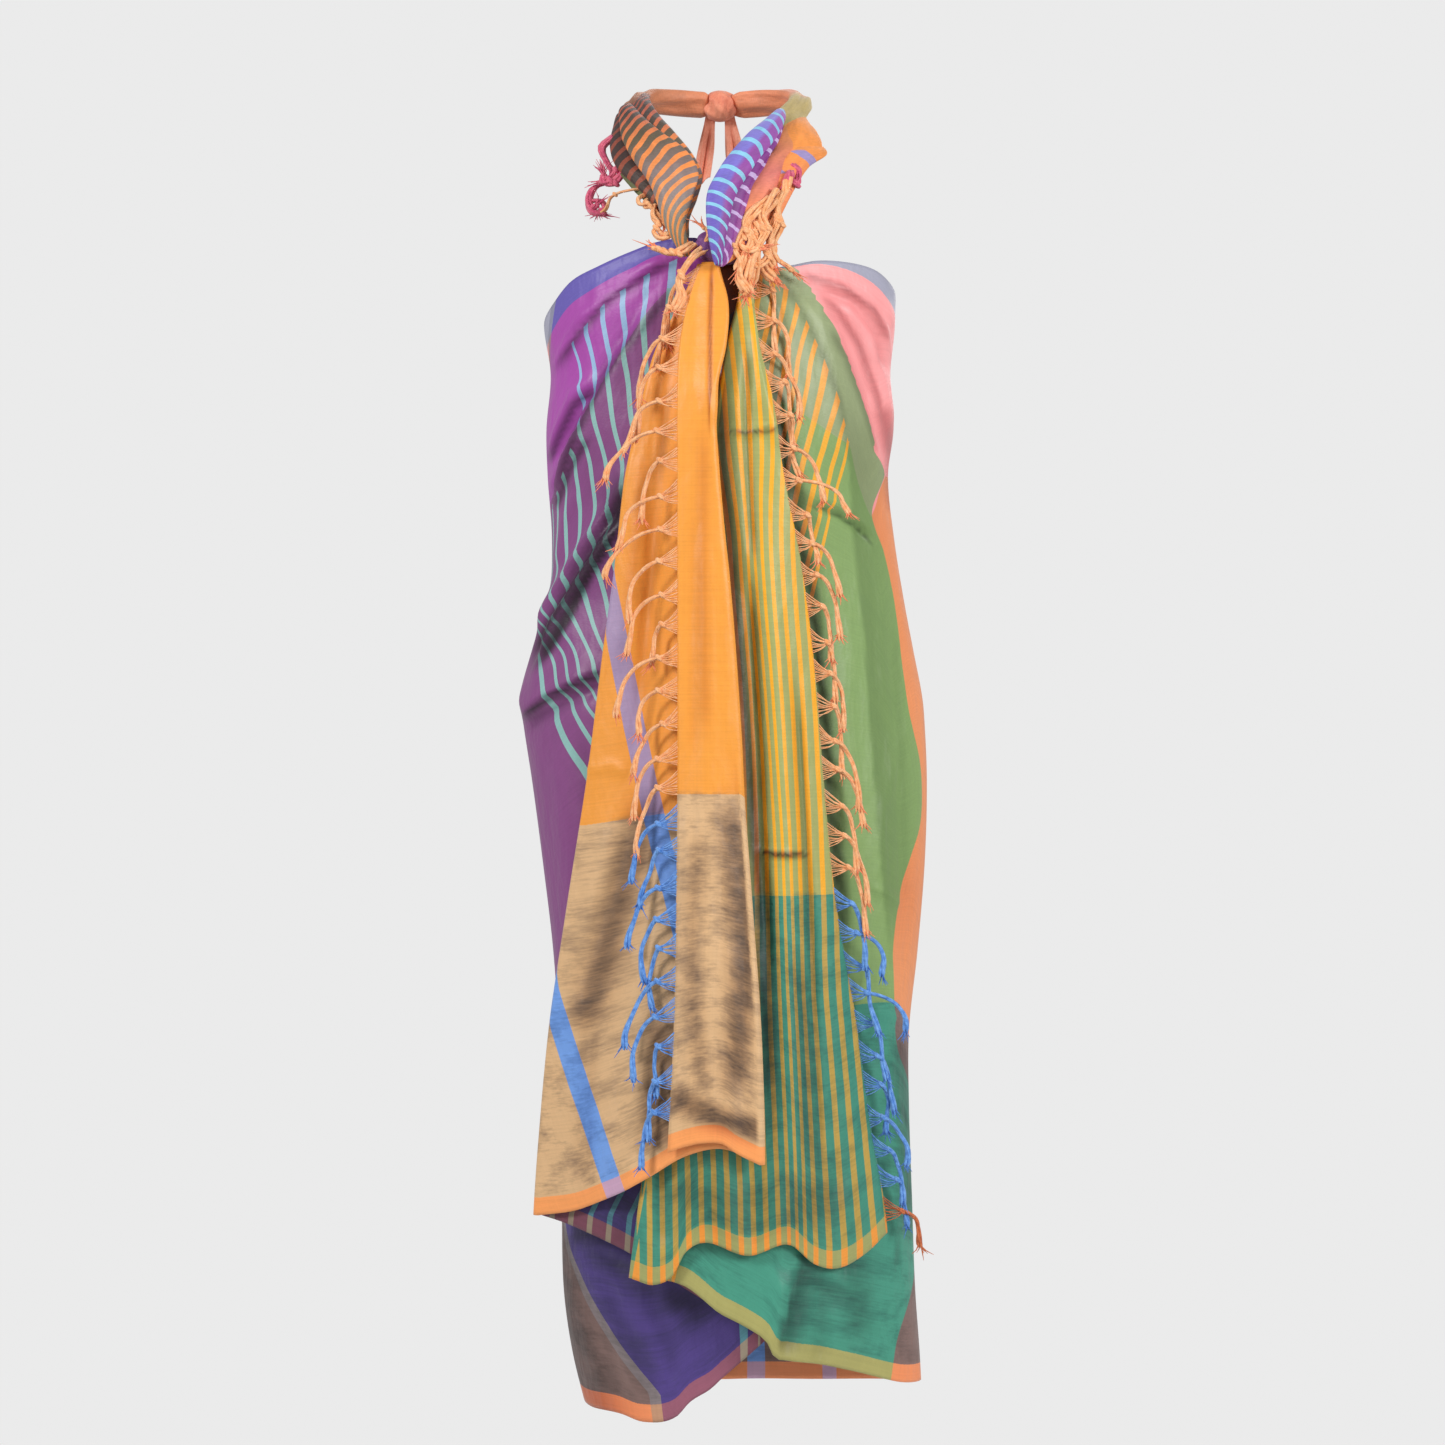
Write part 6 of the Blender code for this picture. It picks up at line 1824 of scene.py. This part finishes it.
def roll_silk(name, ground, stripe=None, pitch=0.012, width=0.004, bend=0.0, lean=0.0, inner=None, inner_part=0.3):
    """Silk whose ground and cross stripes change along the roll. Inner is a second ground colour."""
    nodes = Nodes(name)
    uv = nodes.add("ShaderNodeUVMap", uv_map="weave")
    split = nodes.add("ShaderNodeSeparateXYZ")
    nodes.join(uv.outputs["UV"], split.inputs[0])
    along, across = split.outputs["X"], split.outputs["Y"]
    share = nodes.math("DIVIDE", along, ROLL_LENGTH)
    colour = ramp(nodes, share, ground)
    drift = nodes.noise(nodes.vector(nodes.math("MULTIPLY", along, 60.0), nodes.math("MULTIPLY", across, 3.0)), 1.0, 3.0)
    if inner:
        edge = nodes.math("ADD", across, nodes.math("MULTIPLY", nodes.math("SUBTRACT", drift, 0.5), 0.10))
        colour = nodes.mix(nodes.contrast(edge, inner_part + 0.03, inner_part - 0.03), colour, ramp(nodes, share, inner))
    if stripe:
        wander = nodes.math("MULTIPLY", nodes.math("SUBTRACT", drift, 0.5), 0.004)
        curve = nodes.math("MULTIPLY", nodes.math("MULTIPLY", across, across), bend)
        place = nodes.math("ADD", nodes.math("ADD", along, wander), nodes.math("ADD", curve, nodes.math("MULTIPLY", across, lean)))
        on = nodes.math("LESS_THAN", nodes.math("FRACT", nodes.math("DIVIDE", place, pitch)), width / pitch)
        colour = nodes.mix(on, colour, ramp(nodes, share, stripe))
    fine = nodes.noise(nodes.vector(nodes.math("MULTIPLY", along, 900.0), nodes.math("MULTIPLY", across, 14.0)), 1.0, 3.0)
    broad = nodes.noise(nodes.vector(nodes.math("MULTIPLY", along, 70.0), nodes.math("MULTIPLY", across, 9.0)), 1.0, 4.0)
    tone = nodes.add("ShaderNodeMapRange")
    nodes.join(nodes.math("ADD", fine, broad), tone.inputs["Value"])
    tone.inputs["From Min"].default_value = 0.65
    tone.inputs["From Max"].default_value = 1.35
    tone.inputs["To Min"].default_value = 0.78
    tone.inputs["To Max"].default_value = 1.12
    grey = nodes.add("ShaderNodeCombineColor")
    for socket in grey.inputs[:3]:
        nodes.join(tone.outputs["Result"], socket)
    nodes.join(nodes.mix(1.0, colour, grey.outputs["Color"], "MULTIPLY"), nodes.shader.inputs["Base Color"])
    bump = nodes.add("ShaderNodeBump")
    bump.inputs["Strength"].default_value = 0.4
    bump.inputs["Distance"].default_value = 0.003
    nodes.join(nodes.math("ADD", broad, nodes.math("MULTIPLY", fine, 0.2)), bump.inputs["Height"])
    nodes.join(bump.outputs["Normal"], nodes.shader.inputs["Normal"])
    nodes.shader.inputs["Roughness"].default_value = 0.55
    nodes.shader.inputs["Sheen Weight"].default_value = 0.12
    return nodes.material


ORANGE_STRIPES = [
    (0, "#F09A50"), (0.40, "#EE8A44"), (0.52, "#C8603A"), (0.62, "#A8482E"), (1, "#8A3A2A"),
]
OLIVE_GROUND = [
    (0, "#8A8C70"), (0.18, "#8E7E7A"), (0.30, "#84706C"), (0.42, "#5E5038"), (0.55, "#3A2620"),
    (1, "#6A4A38"),
]
right_roll_silks = [
    roll_silk("inner_pleat_silk", OLIVE_GROUND, ORANGE_STRIPES, 0.0148, 0.0060, 0.020, 0.062),
    roll_silk("front_pleat_silk", OLIVE_GROUND, ORANGE_STRIPES, 0.0148, 0.0062, 0.022, 0.038),
    roll_silk("dark_pleat_silk", [(0, "#4A3A28"), (0.4, "#3C2622"), (1, "#2E1C1C")],
              [(0, "#B0562E"), (0.6, "#84382A"), (1, "#702C24")], 0.0148, 0.0056, 0.03, 0.0),
    roll_silk("olive_pleat_silk", [(0, "#7A8048"), (0.3, "#5C6034"), (1, "#4A4A2A")]),
    roll_silk("right_core_silk", [
        (0, "#5A4638"), (0.62, "#5A3A30"), (0.75, "#C07A52"), (1, "#E08A62"),
    ]),
]
left_roll_silks = [
    roll_silk("violet_pleat_silk", [(0, "#7A3A92"), (0.3, "#8E3C9A"), (0.6, "#A05AB4"), (1, "#A080C0")],
              [(0, "#86C4DC"), (0.6, "#8AC8E8"), (1, "#8AC8E8")], 0.0150, 0.0042, 0.075, 0.012,
              inner=[
                  (0, "#6A56B0"), (0.25, "#6E60C0"), (0.6, "#8C86D4"), (1, "#8C86D4"),
              ], inner_part=0.22),
    roll_silk("purple_pleat_silk", [(0, "#8A3A94"), (0.3, "#7E2E88"), (1, "#9A4AA0")],
              [(0, "#C6A8DC"), (1, "#D0BCE6")], 0.0150, 0.0042, 0.02, 0.01),
    roll_silk("plum_pleat_silk", [(0, "#A0489C"), (0.3, "#8A2E86"), (1, "#94409A")],
              [(0, "#C6A8DC"), (1, "#D0BCE6")], 0.0150, 0.0040, 0.02, 0.01),
    roll_silk("coral_pleat_silk", [
        (0, "#F09A52"), (0.2, "#F0905A"), (0.34, "#D8766A"), (0.5, "#E08A50"), (0.6, "#F09440"),
        (1, "#C0A060"),
    ]),
    roll_silk("outer_pleat_silk", [(0, "#F2A060"), (0.3, "#EE8A52"), (0.45, "#F29440"), (1, "#F29440")],
              [
                  (0, "#F2A060"), (0.34, "#EE8A52"), (0.345, "#9C8CC0"), (0.43, "#9C8CC0"),
                  (0.435, "#F29440"), (1, "#F29440"),
              ],
              0.030, 0.010, 0.0, 0.05),
    roll_silk("upper_pleat_silk", [(0, "#F0904A"), (0.55, "#F4953E"), (1, "#EE8C40")]),
    roll_silk("left_core_silk", [
        (0, "#D8824A"), (0.5, "#E8904A"), (0.55, "#B8A466"), (0.72, "#C0AA70"), (0.78, "#E88E66"),
        (1, "#E88E66"),
    ]),
]
for roll, silks in ((right_roll, right_roll_silks), (left_roll, left_roll_silks)):
    for silk in silks:
        roll.data.materials.append(silk)
print("roll silks:", len(right_roll_silks) + len(left_roll_silks))

# %% Silk of the knots, and yarn of the fringes
def plain_cloth(name, low, high, scale, roughness, stretch=(1, 1, 1)):
    """Cloth or yarn in one colour that varies from place to place."""
    nodes = Nodes(name)
    broad = object_noise(nodes, scale, 4.0, stretch)
    fine = object_noise(nodes, scale * 14, 2.0, stretch)
    value = nodes.contrast(nodes.math("ADD", broad, nodes.math("MULTIPLY", fine, 0.6)), 0.6, 1.0)
    nodes.join(ramp(nodes, value, [(0, low), (1, high)]), nodes.shader.inputs["Base Color"])
    bump = nodes.add("ShaderNodeBump")
    bump.inputs["Strength"].default_value = 0.5
    bump.inputs["Distance"].default_value = 0.0006
    nodes.join(fine, bump.inputs["Height"])
    nodes.join(bump.outputs["Normal"], nodes.shader.inputs["Normal"])
    nodes.shader.inputs["Roughness"].default_value = roughness
    nodes.shader.inputs["Sheen Weight"].default_value = 0.2
    return nodes.material


chest_knot.data.materials.append(plain_cloth("gathered_silk", "#5A2A66", "#8E4A96", 60, 0.6))
nape_knot.data.materials.append(plain_cloth("tied_silk", "#D8765A", "#F09A78", 50, 0.6))
for tie in (right_tie, left_tie):
    tie.data.materials.append(plain_cloth("tie_silk", "#E08262", "#F4A286", 40, 0.6))
YARN_COLOURS = {
    "peach": ("#EE9C5E", "#FCC493"),
    "peach_tip": ("#E67848", "#FF9E74"),
    "blue": ("#3E78C8", "#7CB0F0"),
    "blue_tip": ("#2C5CB0", "#5A92E0"),
    "pink": ("#C03A68", "#F07A90"),
    "rust": ("#B4562E", "#D87A48"),
}
for yarn in YARNS:
    plain_cloth(yarn + "_yarn", *YARN_COLOURS[yarn], 220, 0.8)
for piece, node, slot in [
    (right_roll, "right_neck_roll", "olive_cloth"),
    (left_roll, "left_neck_roll", "violet_cloth"),
    (chest_knot, "chest_knot", "violet_cloth"),
    (nape_knot, "nape_knot", "coral_cloth"),
    (right_tie, "right_tie_end", "coral_cloth"),
    (left_tie, "left_tie_end", "coral_cloth"),
    (right_end_fringe, "right_end_fringe", "fringe_yarn"),
    (left_end_fringe, "left_end_fringe", "fringe_yarn"),
    (right_neck_fringe, "right_neck_fringe", "fringe_yarn"),
    (left_neck_fringe, "left_neck_fringe", "fringe_yarn"),
]:
    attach(piece, "root")
    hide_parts(node)
